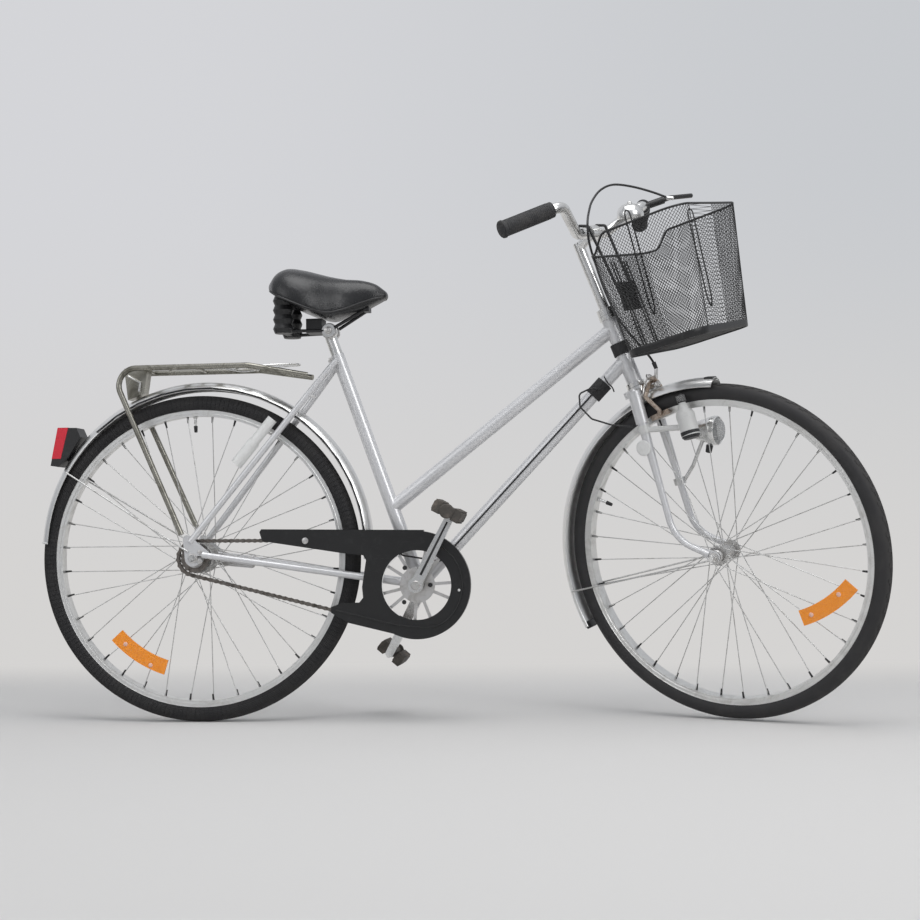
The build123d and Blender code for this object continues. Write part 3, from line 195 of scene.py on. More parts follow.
class Graph:
    """The nodes of one material or world."""

    def __init__(self, owner: Union[bpy.types.Material, bpy.types.World]) -> None:
        """Clears the owner's nodes and keeps its tree."""
        owner.use_nodes = True
        self.owner = owner
        self.tree = owner.node_tree
        self.tree.nodes.clear()

    def node(
        self,
        kind: str,
        settings: Optional[dict] = None,
        inputs: Union[Sequence[Value], dict, None] = None,
        output: Union[int, str] = 0,
    ) -> Signal:
        """Adds a node.

        Args:
            kind: the node's type.
            settings: its properties, and the stops of a ramp.
            inputs: values or signals of its sockets, in order or by name.
            output: which of its outputs is wanted.

        Returns:
            The output as a signal.
        """
        made = self.tree.nodes.new(kind)
        for key, value in (settings or {}).items():
            if key == "stops":
                self.set_stops(made.color_ramp, value)
            else:
                setattr(made, key, value)
        pairs = inputs.items() if isinstance(inputs, dict) else enumerate(inputs or [])
        for key, value in pairs:
            if value is None:
                continue
            if isinstance(value, Signal):
                self.tree.links.new(value.socket, made.inputs[key])
            else:
                made.inputs[key].default_value = value
        return Signal(self, made.outputs[output])

    @staticmethod
    def set_stops(ramp: bpy.types.ColorRamp, stops: Sequence[tuple[float, Colour]]) -> None:
        """Sets a ramp's stops.

        Args:
            ramp: the ramp.
            stops: place and colour of each stop.
        """
        while len(ramp.elements) < len(stops):
            ramp.elements.new(0.5)
        for element, (place, colour) in zip(ramp.elements, stops):
            element.position = place
            element.color = (*colour, 1.0)

    def place(self, centre: Point = (0, 0, 0), turn: Point = (0, 0, 0), scale: Point = (1, 1, 1)) -> Signal:
        """Object coordinates.

        Args:
            centre: place that becomes the zero point.
            turn: rotation of the pattern.
            scale: stretch along each axis.

        Returns:
            The coordinates.
        """
        raw = self.node("ShaderNodeTexCoord", output="Object")
        if tuple(centre) != (0, 0, 0):
            raw = self.node("ShaderNodeVectorMath", {"operation": "SUBTRACT"}, [raw, tuple(centre)])
        settings = {"vector_type": "POINT"}
        return self.node("ShaderNodeMapping", settings, {"Vector": raw, "Rotation": tuple(turn), "Scale": tuple(scale)})

    def noise(self, where: Signal, scale: float, detail: float = 3.0, roughness: float = 0.5, twist: float = 0.0) -> Signal:
        """Grey noise, from 0 to 1.

        Args:
            where: coordinates.
            scale: how fine it is.
            detail: octaves.
            roughness: weight of the finer octaves.
            twist: distortion.

        Returns:
            The noise.
        """
        inputs = {"Vector": where, "Scale": scale, "Detail": detail, "Roughness": roughness, "Distortion": twist}
        return self.node("ShaderNodeTexNoise", None, inputs)

    def cells(self, where: Signal, scale: float) -> Signal:
        """Distance to the edges of a cell pattern."""
        return self.node("ShaderNodeTexVoronoi", {"feature": "DISTANCE_TO_EDGE"}, {"Vector": where, "Scale": scale})

    def step(self, signal: Signal, low: float, high: float) -> Signal:
        """0 below low, 1 above high, smooth between."""
        settings = {"interpolation_type": "SMOOTHSTEP"}
        return self.node("ShaderNodeMapRange", settings, {"Value": signal, "From Min": low, "From Max": high})

    def split(self, where: Signal) -> tuple[Signal, Signal, Signal]:
        """The three numbers of a vector."""
        parts = self.node("ShaderNodeSeparateXYZ", None, [where])
        outputs = parts.socket.node.outputs
        return tuple(Signal(self, outputs[index]) for index in range(3))

    def blend(self, share: Value, first: Value, second: Value) -> Signal:
        """Mix of two colours.

        Args:
            share: how much of the second.
            first: colour at 0.
            second: colour at 1.

        Returns:
            The mixed colour.
        """
        made = self.tree.nodes.new("ShaderNodeMix")
        made.data_type = "RGBA"
        for socket, value in zip((made.inputs[0], made.inputs[6], made.inputs[7]), (share, first, second)):
            if isinstance(value, Signal):
                self.tree.links.new(value.socket, socket)
            else:
                socket.default_value = (*value, 1.0) if isinstance(value, (tuple, list)) else value
        return Signal(self, made.outputs[2])

    def bump(self, height: Signal, distance: float, strength: float = 1.0) -> Signal:
        """Normal raised by a height."""
        return self.node("ShaderNodeBump", None, {"Height": height, "Distance": distance, "Strength": strength})

    def seen_rays(self) -> Signal:
        """1 for rays of the camera, of gloss and of glass, and 0 for the light on the object."""
        path = self.node("ShaderNodeLightPath").socket.node
        camera, gloss, glass = (Signal(self, path.outputs[name]) for name in (
            "Is Camera Ray", "Is Glossy Ray", "Is Transmission Ray"))
        return camera.math("MAXIMUM", gloss).math("MAXIMUM", glass)

    def end(self, shader: Signal, kind: str = "ShaderNodeOutputMaterial") -> None:
        """Joins the shader to the output."""
        output = self.tree.nodes.new(kind)
        self.tree.links.new(shader.socket, output.inputs["Surface"])

    def surface(self, **sockets: Value) -> bpy.types.Material:
        """Principled surface.

        Args:
            **sockets: values of its sockets, with _ for a space in a name.

        Returns:
            The material.
        """
        inputs = {}
        for key, value in sockets.items():
            colour = isinstance(value, tuple) and len(value) == 3
            inputs[key.replace("_", " ")] = (*value, 1.0) if colour else value
        self.end(self.node("ShaderNodeBsdfPrincipled", None, inputs))
        return self.owner


# Finishes


@dataclass(frozen=True)
class Finish:
    """A surface that pieces are dressed in."""

    name: str
    slot: str

    def build(self, graph: Graph) -> bpy.types.Material:
        """Makes the material's nodes."""
        raise NotImplementedError

    def material(self) -> bpy.types.Material:
        """The finish's material, made once."""
        known = bpy.data.materials.get(self.name)
        return known if known else self.build(Graph(bpy.data.materials.new(self.name)))


@dataclass(frozen=True)
class Lacquer(Finish):
    """Silver metallic lacquer with fine flakes, scuffs and a few chips."""

    colour: Colour = (0.70, 0.70, 0.71)
    shade: Colour = (0.62, 0.62, 0.63)
    chip: Colour = (0.17, 0.13, 0.10)

    def build(self, graph: Graph) -> bpy.types.Material:
        """Makes the material's nodes."""
        where = graph.place()
        broad = graph.noise(where, 9.0, 4.0, 0.6)
        flakes = graph.noise(where, 2600.0, 1.0)
        dirt = graph.step(graph.noise(where, 38.0, 6.0, 0.7, 0.6), 0.58, 0.76)
        chips = graph.step(graph.noise(where, 120.0, 5.0, 0.72), 0.735, 0.76)
        lines = graph.noise(graph.place(turn=(0.4, 0.9, 0.2), scale=(20, 260, 260)), 3.0, 2.0)
        scratch = graph.step(lines, 0.72, 0.78)
        colour = graph.blend(broad, self.colour, self.shade)
        colour = graph.blend(dirt * 0.28, colour, (0.45, 0.43, 0.40))
        colour = graph.blend(chips, colour, self.chip)
        rough = 0.30 + broad * 0.08 + dirt * 0.18 + scratch * 0.10
        normal = graph.bump(flakes * 0.3 - chips, 0.00012, 0.5)
        return graph.surface(
            Base_Color=colour, Metallic=0.42 - chips * 0.4, Roughness=rough, Normal=normal,
            Coat_Weight=0.45 - chips * 0.4, Coat_Roughness=0.10,
        )


@dataclass(frozen=True)
class Plate(Finish):
    """Bright or dulled plated metal with haze, grime and rust specks."""

    colour: Colour = (0.80, 0.80, 0.79)
    grime: Colour = (0.22, 0.20, 0.17)
    rust: Colour = (0.22, 0.10, 0.05)
    roughness: float = 0.14
    grime_share: float = 0.32
    rust_level: float = 0.70
    scale: float = 60.0

    def build(self, graph: Graph) -> bpy.types.Material:
        """Makes the material's nodes."""
        where = graph.place()
        haze = graph.noise(where, self.scale, 5.0, 0.65, 0.4)
        spots = graph.step(graph.noise(where, self.scale * 5.5, 4.0, 0.7), self.rust_level, self.rust_level + 0.06)
        film = graph.step(graph.noise(where, self.scale * 0.45, 6.0, 0.7, 1.0), 0.42, 0.72)
        colour = graph.blend(film * self.grime_share, self.colour, self.grime)
        colour = graph.blend(spots * 0.8, colour, self.rust)
        rough = self.roughness + haze * 0.14 + film * 0.16 + spots * 0.35
        normal = graph.bump(haze * 0.4 + spots, 0.00015, 0.35)
        return graph.surface(Base_Color=colour, Metallic=1.0 - spots * 0.7, Roughness=rough, Normal=normal)


@dataclass(frozen=True)
class Sheet(Finish):
    """Rolled bright sheet with fine lines that run round a wheel's axle."""

    centre: Point = (0.0, 0.0, 0.0)
    turn: Point = (0.0, 0.0, 0.0)
    colour: Colour = (0.80, 0.80, 0.79)

    def build(self, graph: Graph) -> bpy.types.Material:
        """Makes the material's nodes."""
        where = graph.place(self.centre, self.turn)
        x, y, z = graph.split(where)
        radius = (x * x + z * z) ** 0.5
        lines = graph.node("ShaderNodeCombineXYZ", None, [radius * 900.0, y * 900.0, 0.0])
        brushed = graph.noise(lines, 1.0, 2.0)
        haze = graph.noise(where, 26.0, 5.0, 0.6, 0.5)
        stain = graph.step(graph.noise(where, 11.0, 6.0, 0.72, 1.2), 0.52, 0.72)
        specks = graph.step(graph.noise(where, 330.0, 3.0, 0.7), 0.70, 0.76)
        colour = graph.blend(stain * 0.35, self.colour, (0.50, 0.47, 0.42))
        colour = graph.blend(specks * 0.5, colour, (0.28, 0.23, 0.18))
        rough = 0.20 + haze * 0.14 + brushed * 0.08 + specks * 0.2
        normal = graph.bump(brushed + haze * 0.5, 0.00008, 0.5)
        return graph.surface(Base_Color=colour, Metallic=1.0, Roughness=rough, Normal=normal)


@dataclass(frozen=True)
class Rubber(Finish):
    """Dull rubber, dusty in its hollows."""

    colour: Colour = (0.030, 0.030, 0.032)
    dust: Colour = (0.13, 0.125, 0.115)
    dust_share: float = 0.35
    roughness: float = 0.62
    grain: float = 700.0

    def build(self, graph: Graph) -> bpy.types.Material:
        """Makes the material's nodes."""
        where = graph.place()
        fine = graph.noise(where, self.grain, 4.0, 0.6)
        dust = graph.step(graph.noise(where, 32.0, 7.0, 0.72, 0.8), 0.42, 0.75)
        speck = graph.step(graph.noise(where, 420.0, 2.0), 0.66, 0.78)
        colour = graph.blend(dust * self.dust_share + speck * 0.12, self.colour, self.dust)
        rough = self.roughness + fine * 0.12 + dust * 0.14
        normal = graph.bump(fine + dust * 0.3, 0.00018, 0.5)
        return graph.surface(Base_Color=colour, Roughness=rough, Normal=normal, Specular_IOR_Level=0.42)


@dataclass(frozen=True)
class TyreRubber(Finish):
    """Dark grey tyre rubber with moulded rings and a dusty tread."""

    centre: Point = (0.0, 0.0, 0.0)
    turn: Point = (0.0, 0.0, 0.0)
    colour: Colour = (0.020, 0.0195, 0.021)
    worn: Colour = (0.060, 0.057, 0.055)

    def build(self, graph: Graph) -> bpy.types.Material:
        """Makes the material's nodes."""
        where = graph.place(self.centre, self.turn)
        x, _, z = graph.split(where)
        radius = (x * x + z * z) ** 0.5
        round_way = x.math("ARCTAN2", z)
        streaks = graph.noise(graph.node("ShaderNodeCombineXYZ", None, [radius * 260.0, round_way * 6.0, 0.0]), 1.0, 3.0)
        tread = graph.step(radius, 0.339, 0.346)
        dust = graph.step(graph.noise(where, 24.0, 7.0, 0.7, 0.8), 0.40, 0.74)
        fine = graph.noise(where, 900.0, 3.0)
        rings = (radius * 3400.0).math("SINE")
        bead = graph.step(radius, 0.316, 0.3215) * (1.0 - graph.step(radius, 0.3255, 0.328))
        colour = graph.blend(dust * 0.35 + streaks * 0.12, self.colour, self.worn)
        colour = graph.blend(tread * 0.45, colour, self.worn)
        rough = 0.55 + dust * 0.16 + tread * 0.12 + fine * 0.05
        normal = graph.bump(rings * bead * 0.35 + fine * 0.35, 0.0004, 0.6)
        return graph.surface(Base_Color=colour, Roughness=rough, Normal=normal, Specular_IOR_Level=0.4)


@dataclass(frozen=True)
class Vinyl(Finish):
    """Smooth black saddle cover with a fine grain and worn shine."""

    colour: Colour = (0.0085, 0.0088, 0.0098)

    def build(self, graph: Graph) -> bpy.types.Material:
        """Makes the material's nodes."""
        where = graph.place()
        grain = graph.cells(where, 1150.0)
        soft = graph.noise(where, 16.0, 4.0, 0.6)
        dust = graph.step(graph.noise(where, 46.0, 7.0, 0.72, 0.8), 0.50, 0.80)
        colour = graph.blend(soft * 0.25 + dust * 0.15, self.colour, (0.030, 0.030, 0.032))
        rough = 0.20 + soft * 0.10 + dust * 0.20
        normal = graph.bump(graph.step(grain, 0.0, 0.22) * 0.5 + soft * 1.5, 0.00022, 0.35)
        return graph.surface(Base_Color=colour, Roughness=rough, Normal=normal, Specular_IOR_Level=0.5)


@dataclass(frozen=True)
class Moulding(Finish):
    """Moulded plastic, tape or painted metal with scuffs."""

    colour: Colour = (0.012, 0.012, 0.013)
    scuff: Colour = (0.10, 0.10, 0.10)
    roughness: float = 0.38
    scuff_share: float = 0.25

    def build(self, graph: Graph) -> bpy.types.Material:
        """Makes the material's nodes."""
        where = graph.place()
        fine = graph.noise(where, 620.0, 3.0)
        broad = graph.noise(where, 14.0, 5.0, 0.6)
        lines = graph.noise(graph.place(turn=(0.0, 0.5, 0.3), scale=(12, 60, 190)), 4.0, 3.0, 0.6)
        scratches = graph.step(lines, 0.655, 0.70)
        dust = graph.step(graph.noise(where, 60.0, 6.0, 0.7, 0.6), 0.52, 0.78)
        colour = graph.blend(scratches * self.scuff_share + dust * self.scuff_share * 0.8, self.colour, self.scuff)
        rough = self.roughness + broad * 0.10 + scratches * 0.18 + dust * 0.12
        normal = graph.bump(fine * 0.5 - scratches * 0.6, 0.00012, 0.5)
        return graph.surface(Base_Color=colour, Roughness=rough, Normal=normal)


@dataclass(frozen=True)
class Lens(Finish):
    """Coloured lens with a prism pattern below its surface."""

    colour: Colour = (0.60, 0.012, 0.020)
    deep: Colour = (0.22, 0.004, 0.010)
    cell: float = 420.0

    def build(self, graph: Graph) -> bpy.types.Material:
        """Makes the material's nodes."""
        where = graph.place()
        edge = graph.step(graph.cells(where, self.cell), 0.02, 0.20)
        patch = graph.noise(where, 60.0, 4.0, 0.6)
        dirt = graph.step(graph.noise(where, 90.0, 6.0, 0.7), 0.60, 0.78)
        colour = graph.blend(edge * 0.55 + patch * 0.3, self.deep, self.colour)
        colour = graph.blend(dirt * 0.30, colour, (0.20, 0.15, 0.10))
        normal = graph.bump(edge, 0.0003, 0.45)
        return graph.surface(
            Base_Color=colour, Roughness=0.16 + dirt * 0.35, Normal=normal, Coat_Weight=0.55 - dirt * 0.4,
            Coat_Roughness=0.05,
        )


@dataclass(frozen=True)
class Clear(Finish):
    """Clear ribbed cover, a little clouded."""

    ribs: float = 1500.0

    def build(self, graph: Graph) -> bpy.types.Material:
        """Makes the material's nodes."""
        where = graph.place()
        ribs = (graph.split(where)[2] * self.ribs).math("SINE")
        haze = graph.noise(where, 55.0, 5.0, 0.6)
        colour = graph.blend(haze, (0.90, 0.91, 0.92), (0.72, 0.73, 0.73))
        normal = graph.bump(ribs, 0.0005, 0.6)
        return graph.surface(
            Base_Color=colour, Roughness=0.08 + haze * 0.12, Normal=normal, Transmission_Weight=0.72, IOR=1.45
        )


class Finishes:
    """Every finish of the bicycle."""

    front_turn = tuple(Matrix.Rotation(math.radians(LAYOUT.steer_rest), 3, LAYOUT.head_up).inverted().to_euler())
    rear_centre = tuple(LAYOUT.fixed((0, 0, 0)))
    front_centre = tuple(LAYOUT.turned((LAYOUT.wheelbase, 0, 0)))

    lacquer = Lacquer("silver_lacquer", "frame_paint")
    chrome = Plate("worn_chrome", "chrome")
    greasy = Plate("greasy_chrome", "chrome", colour=(0.66, 0.65, 0.64), grime_share=0.5, rust_level=0.66, roughness=0.24)
    rusty = Plate("rusty_steel", "chrome", colour=(0.50, 0.44, 0.38), grime=(0.17, 0.11, 0.075), grime_share=0.8,
                  rust=(0.27, 0.12, 0.055), rust_level=0.55, roughness=0.34, scale=120.0)
    dulled = Plate("dulled_chrome", "dull_chrome", colour=(0.34, 0.33, 0.29), grime=(0.07, 0.065, 0.05),
                   grime_share=0.75, roughness=0.20, rust_level=0.665, scale=42.0)
    alloy = Plate("rim_alloy", "rim_metal", colour=(0.74, 0.74, 0.73), grime_share=0.26, roughness=0.30, rust_level=0.76)
    hub = Plate("hub_metal", "hub_metal", colour=(0.55, 0.54, 0.52), grime_share=0.65, roughness=0.30, rust_level=0.64,
                scale=110.0)
    spoke = Plate("spoke_wire", "spoke_steel", colour=(0.62, 0.62, 0.61), grime_share=0.45, roughness=0.28, rust_level=0.66)
    chain = Plate("oily_steel", "chain_steel", colour=(0.20, 0.185, 0.17), grime=(0.03, 0.026, 0.022), grime_share=0.85,
                  rust=(0.20, 0.085, 0.035), rust_level=0.60, roughness=0.30, scale=150.0)
    sheets = {
        False: Sheet("rear_fender_sheet", "polished_sheet", centre=rear_centre),
        True: Sheet("front_fender_sheet", "polished_sheet", centre=front_centre, turn=front_turn),
    }
    tyres = {
        False: TyreRubber("rear_tyre_rubber", "tyre", centre=rear_centre),
        True: TyreRubber("front_tyre_rubber", "tyre", centre=front_centre, turn=front_turn),
    }
    rubber = Rubber("grip_rubber", "rubber")
    tread = Rubber("pedal_rubber", "rubber", colour=(0.060, 0.054, 0.048), dust=(0.24, 0.20, 0.17), dust_share=0.6)
    vinyl = Vinyl("saddle_vinyl", "vinyl")
    plastic = Moulding("black_moulding", "black_plastic")
    guard = Moulding("guard_moulding", "guard_plastic", colour=(0.0075, 0.0075, 0.008), roughness=0.36, scuff_share=0.16)
    tape = Moulding("cloth_tape", "black_plastic", colour=(0.018, 0.018, 0.019), roughness=0.62, scuff_share=0.3)
    wire = Moulding("coated_wire", "black_wire", colour=(0.0095, 0.0095, 0.010), roughness=0.34, scuff_share=0.35)
    silver = Moulding("silver_moulding", "silver_plastic", colour=(0.60, 0.60, 0.59), scuff=(0.34, 0.32, 0.29),
                      roughness=0.34, scuff_share=0.45)
    white = Moulding("white_moulding", "silver_plastic", colour=(0.72, 0.72, 0.71), scuff=(0.42, 0.40, 0.36), scuff_share=0.4)
    film = Moulding("aged_film", "polished_sheet", colour=(0.66, 0.64, 0.52), scuff=(0.50, 0.46, 0.36), roughness=0.34,
                    scuff_share=0.5)
    red = Lens("red_lens", "red_lens")
    amber = Lens("amber_lens", "amber", colour=(1.0, 0.36, 0.012), deep=(0.88, 0.24, 0.006), cell=330.0)
    pink = Moulding("faded_fixing", "amber", colour=(0.80, 0.50, 0.40), scuff=(0.50, 0.30, 0.22), roughness=0.36)
    clear = Clear("clear_cover", "lamp_clear")


# Mesh work


class Shop:
    """Tools that make pieces out of primitives, curves and edit-mode operators, in metres."""

    @staticmethod
    def clear_choice() -> None:
        """Leaves edit mode and deselects every object."""
        if bpy.context.object and bpy.context.object.mode != "OBJECT":
            bpy.ops.object.mode_set(mode="OBJECT")
        bpy.ops.object.select_all(action="DESELECT")

    @classmethod
    def choose(cls, *pieces: bpy.types.Object) -> None:
        """Selects pieces, the first one active."""
        cls.clear_choice()
        for piece in pieces:
            piece.select_set(True)
        bpy.context.view_layer.objects.active = pieces[0]

    @classmethod
    def settle(cls, piece: bpy.types.Object, smooth: Optional[float] = 35.0) -> bpy.types.Object:
        """Puts the piece's place in its mesh and smooths it up to an angle."""
        cls.choose(piece)
        bpy.ops.object.transform_apply(location=True, rotation=True, scale=True)
        if smooth is not None:
            bpy.ops.object.shade_smooth_by_angle(angle=math.radians(smooth))
        return piece

    @classmethod
    def heal(cls, piece: bpy.types.Object, distance: float = 0.00002, fill: bool = False) -> bpy.types.Object:
        """Merges doubled points, closes holes if asked and points the faces outwards.

        Args:
            piece: the mesh.
            distance: how near doubled points lie.
            fill: whether holes are closed.

        Returns:
            The mesh.
        """
        cls.choose(piece)
        bpy.ops.object.mode_set(mode="EDIT")
        bpy.ops.mesh.select_all(action="SELECT")
        bpy.ops.mesh.remove_doubles(threshold=distance)
        if fill:
            bpy.ops.mesh.fill_holes(sides=0)
            bpy.ops.mesh.select_all(action="SELECT")
        bpy.ops.mesh.normals_make_consistent(inside=False)
        bpy.ops.object.mode_set(mode="OBJECT")
        return piece

    @classmethod
    def modified(cls, piece: bpy.types.Object, kind: str, **settings: object) -> bpy.types.Object:
        """Adds a modifier with its settings and applies it."""
        cls.choose(piece)
        modifier = piece.modifiers.new(kind.lower(), kind)
        for key, value in settings.items():
            setattr(modifier, key, value)
        bpy.ops.object.modifier_apply(modifier=modifier.name)
        return piece

    @classmethod
    def joined(cls, pieces: Sequence[bpy.types.Object]) -> bpy.types.Object:
        """Makes one object of several."""
        cls.choose(*pieces)
        if len(pieces) > 1:
            bpy.ops.object.join()
        return bpy.context.object

    @classmethod
    def copied(cls, piece: bpy.types.Object, places: Sequence[Matrix]) -> bpy.types.Object:
        """Copies a piece to places, each copy with its own mesh, as one object.

        Args:
            piece: the piece to copy, which is used up.
            places: matrix of each copy.

        Returns:
            The copies as one object.
        """
        copies = []
        for place in places:
            copy = piece.copy()
            copy.data = piece.data.copy()
            bpy.context.scene.collection.objects.link(copy)
            copy.matrix_world = place @ piece.matrix_world
            copies.append(copy)
        bpy.data.objects.remove(piece)
        bpy.context.view_layer.update()
        whole = cls.joined(copies)
        return cls.settle(whole, None)

    @classmethod
    def rod(
        cls, start: Vector, end: Vector, radius: float, end_radius: Optional[float] = None, sides: int = 24,
        soft: float = 0.25,
    ) -> bpy.types.Object:
        """Round bar between two places, with softened ends.

        Args:
            start: its first end.
            end: its last end.
            radius: its radius.
            end_radius: radius of the last end, if it is tapered.
            sides: how many faces go round.
            soft: size of the softened edge, as a share of the smaller radius.

        Returns:
            The bar.
        """
        cls.clear_choice()
        way = end - start
        last = radius if end_radius is None else end_radius
        bpy.ops.mesh.primitive_cone_add(
            vertices=sides, radius1=radius, radius2=last, depth=way.length, location=(start + end) / 2,
            rotation=way.to_track_quat("Z", "Y").to_euler(),
        )
        piece = bpy.context.object
        width = min(soft * min(radius, last), 0.0016)
        if soft and width > 0.00005:
            cls.modified(piece, "BEVEL", width=width, segments=2, limit_method="ANGLE", angle_limit=math.radians(40))
        return piece

    @classmethod
    def block(cls, centre: Vector, size: Sequence[float], turn: Matrix, bevel: float, inset: float = 0.0) -> bpy.types.Object:
        """Turned block with softened edges, and a sunk top if asked.

        Args:
            centre: its middle.
            size: its sides along its own axes.
            turn: rotation of its axes.
            bevel: radius of its edges.
            inset: depth that the middle of its top is pressed in.

        Returns:
            The block.
        """
        cls.clear_choice()
        bpy.ops.mesh.primitive_cube_add(size=1.0)
        piece = bpy.context.object
        piece.scale = size
        bpy.ops.object.transform_apply(location=True, rotation=True, scale=True)
        if inset:
            for face in piece.data.polygons:
                face.select = face.normal.z > 0.9
            bpy.ops.object.mode_set(mode="EDIT")
            bpy.ops.mesh.select_mode(type="FACE")
            bpy.ops.mesh.inset(thickness=min(size[:2]) * 0.16, depth=-inset)
            bpy.ops.object.mode_set(mode="OBJECT")
        cls.modified(piece, "BEVEL", width=bevel, segments=3, limit_method="ANGLE", angle_limit=math.radians(50))
        piece.matrix_world = Matrix.Translation(centre) @ turn.to_4x4()
        return piece

    @classmethod
    def hex_bolt(cls, seat: Vector, axis: Vector, across: float, height: float, stub: float = 0.0) -> bpy.types.Object:
        """Washer and hexagon head or nut.

        Args:
            seat: where it meets what it holds.
            axis: direction away from that.
            across: width over its corners.
            height: height of the hexagon.
            stub: how far the thread stands out of it.

        Returns:
            The bolt.
        """
        way = axis.normalized()
        washer = cls.rod(seat, seat + way * height * 0.22, across * 0.62, sides=20)
        head = cls.rod(seat + way * height * 0.2, seat + way * height * 1.2, across / 2, across / 2 * 0.97, sides=6, soft=0.14)
        parts = [washer, head]
        if stub:
            parts.append(cls.rod(seat, seat + way * (height * 1.2 + stub), across * 0.26, sides=14))
        return cls.joined(parts)

    @classmethod
    def lathe(cls, profile: Sequence[tuple[float, float]], centre: Vector, axis: Vector, steps: int = 48) -> bpy.types.Object:
        """Turned solid.

        Args:
            profile: radius and place along the axis of each point of the closed outline.
            centre: the zero point of the axis.
            axis: the axis' direction.
            steps: how many faces go round.

        Returns:
            The solid.
        """
        cls.clear_choice()
        bpy.ops.mesh.primitive_circle_add(vertices=len(profile), fill_type="NOTHING")
        piece = bpy.context.object
        turn = axis.normalized().to_track_quat("Z", "Y").to_matrix()
        for vertex, (radius, along) in zip(piece.data.vertices, profile):
            vertex.co = centre + turn @ Vector((radius, 0.0, along))
        bpy.ops.object.mode_set(mode="EDIT")
        bpy.ops.mesh.select_all(action="SELECT")
        bpy.ops.mesh.spin(steps=steps, angle=2 * math.pi, center=centre, axis=axis.normalized(), use_auto_merge=False)
        bpy.ops.object.mode_set(mode="OBJECT")
        return cls.heal(piece)

    @classmethod
    def skin(cls, sections: Sequence[Sequence[Vector]], looped: bool = False) -> bpy.types.Object:
        """Closed surface through sections, from a grid whose points are moved onto them.

        Args:
            sections: points round each section, all with as many.
            looped: whether the last section joins the first.

        Returns:
            The surface.
        """
        cls.clear_choice()
        rows = [list(section) + [section[0]] for section in sections]
        if looped:
            rows.append(rows[0])
        bpy.ops.mesh.primitive_grid_add(x_subdivisions=len(rows[0]) - 1, y_subdivisions=len(rows) - 1)
        piece = bpy.context.object
        for vertex, place in zip(piece.data.vertices, (place for row in rows for place in row)):
            vertex.co = place
        return cls.heal(piece, 0.000005, not looped)

    @classmethod
    def wires(
        cls, routes: Iterable[Sequence[Vector]], radius: float, sides: int = 3, smooth: bool = True, closed: bool = False
    ) -> bpy.types.Object:
        """Round wires along routes, as one mesh.

        Args:
            routes: points of each wire.
            radius: the wires' radius.
            sides: bevel resolution, where 0 gives four sides.
            smooth: whether the wires curve through their corners.
            closed: whether each route is a loop.

        Returns:
            The wires.
        """
        curve = bpy.data.curves.new("wires", "CURVE")
        curve.dimensions = "3D"
        curve.bevel_depth = radius
        curve.bevel_resolution = sides
        curve.use_fill_caps = not closed
        for route in routes:
            spline = curve.splines.new("NURBS" if smooth else "POLY")
            spline.points.add(len(route) - 1)
            for point, place in zip(spline.points, route):
                point.co = (*place, 1.0)
            spline.use_cyclic_u = closed
            if smooth:
                spline.order_u = 3
                spline.use_endpoint_u = not closed
                spline.resolution_u = 6
        piece = bpy.data.objects.new("wires", curve)
        bpy.context.scene.collection.objects.link(piece)
        cls.choose(piece)
        bpy.ops.object.convert(target="MESH")
        return bpy.context.object


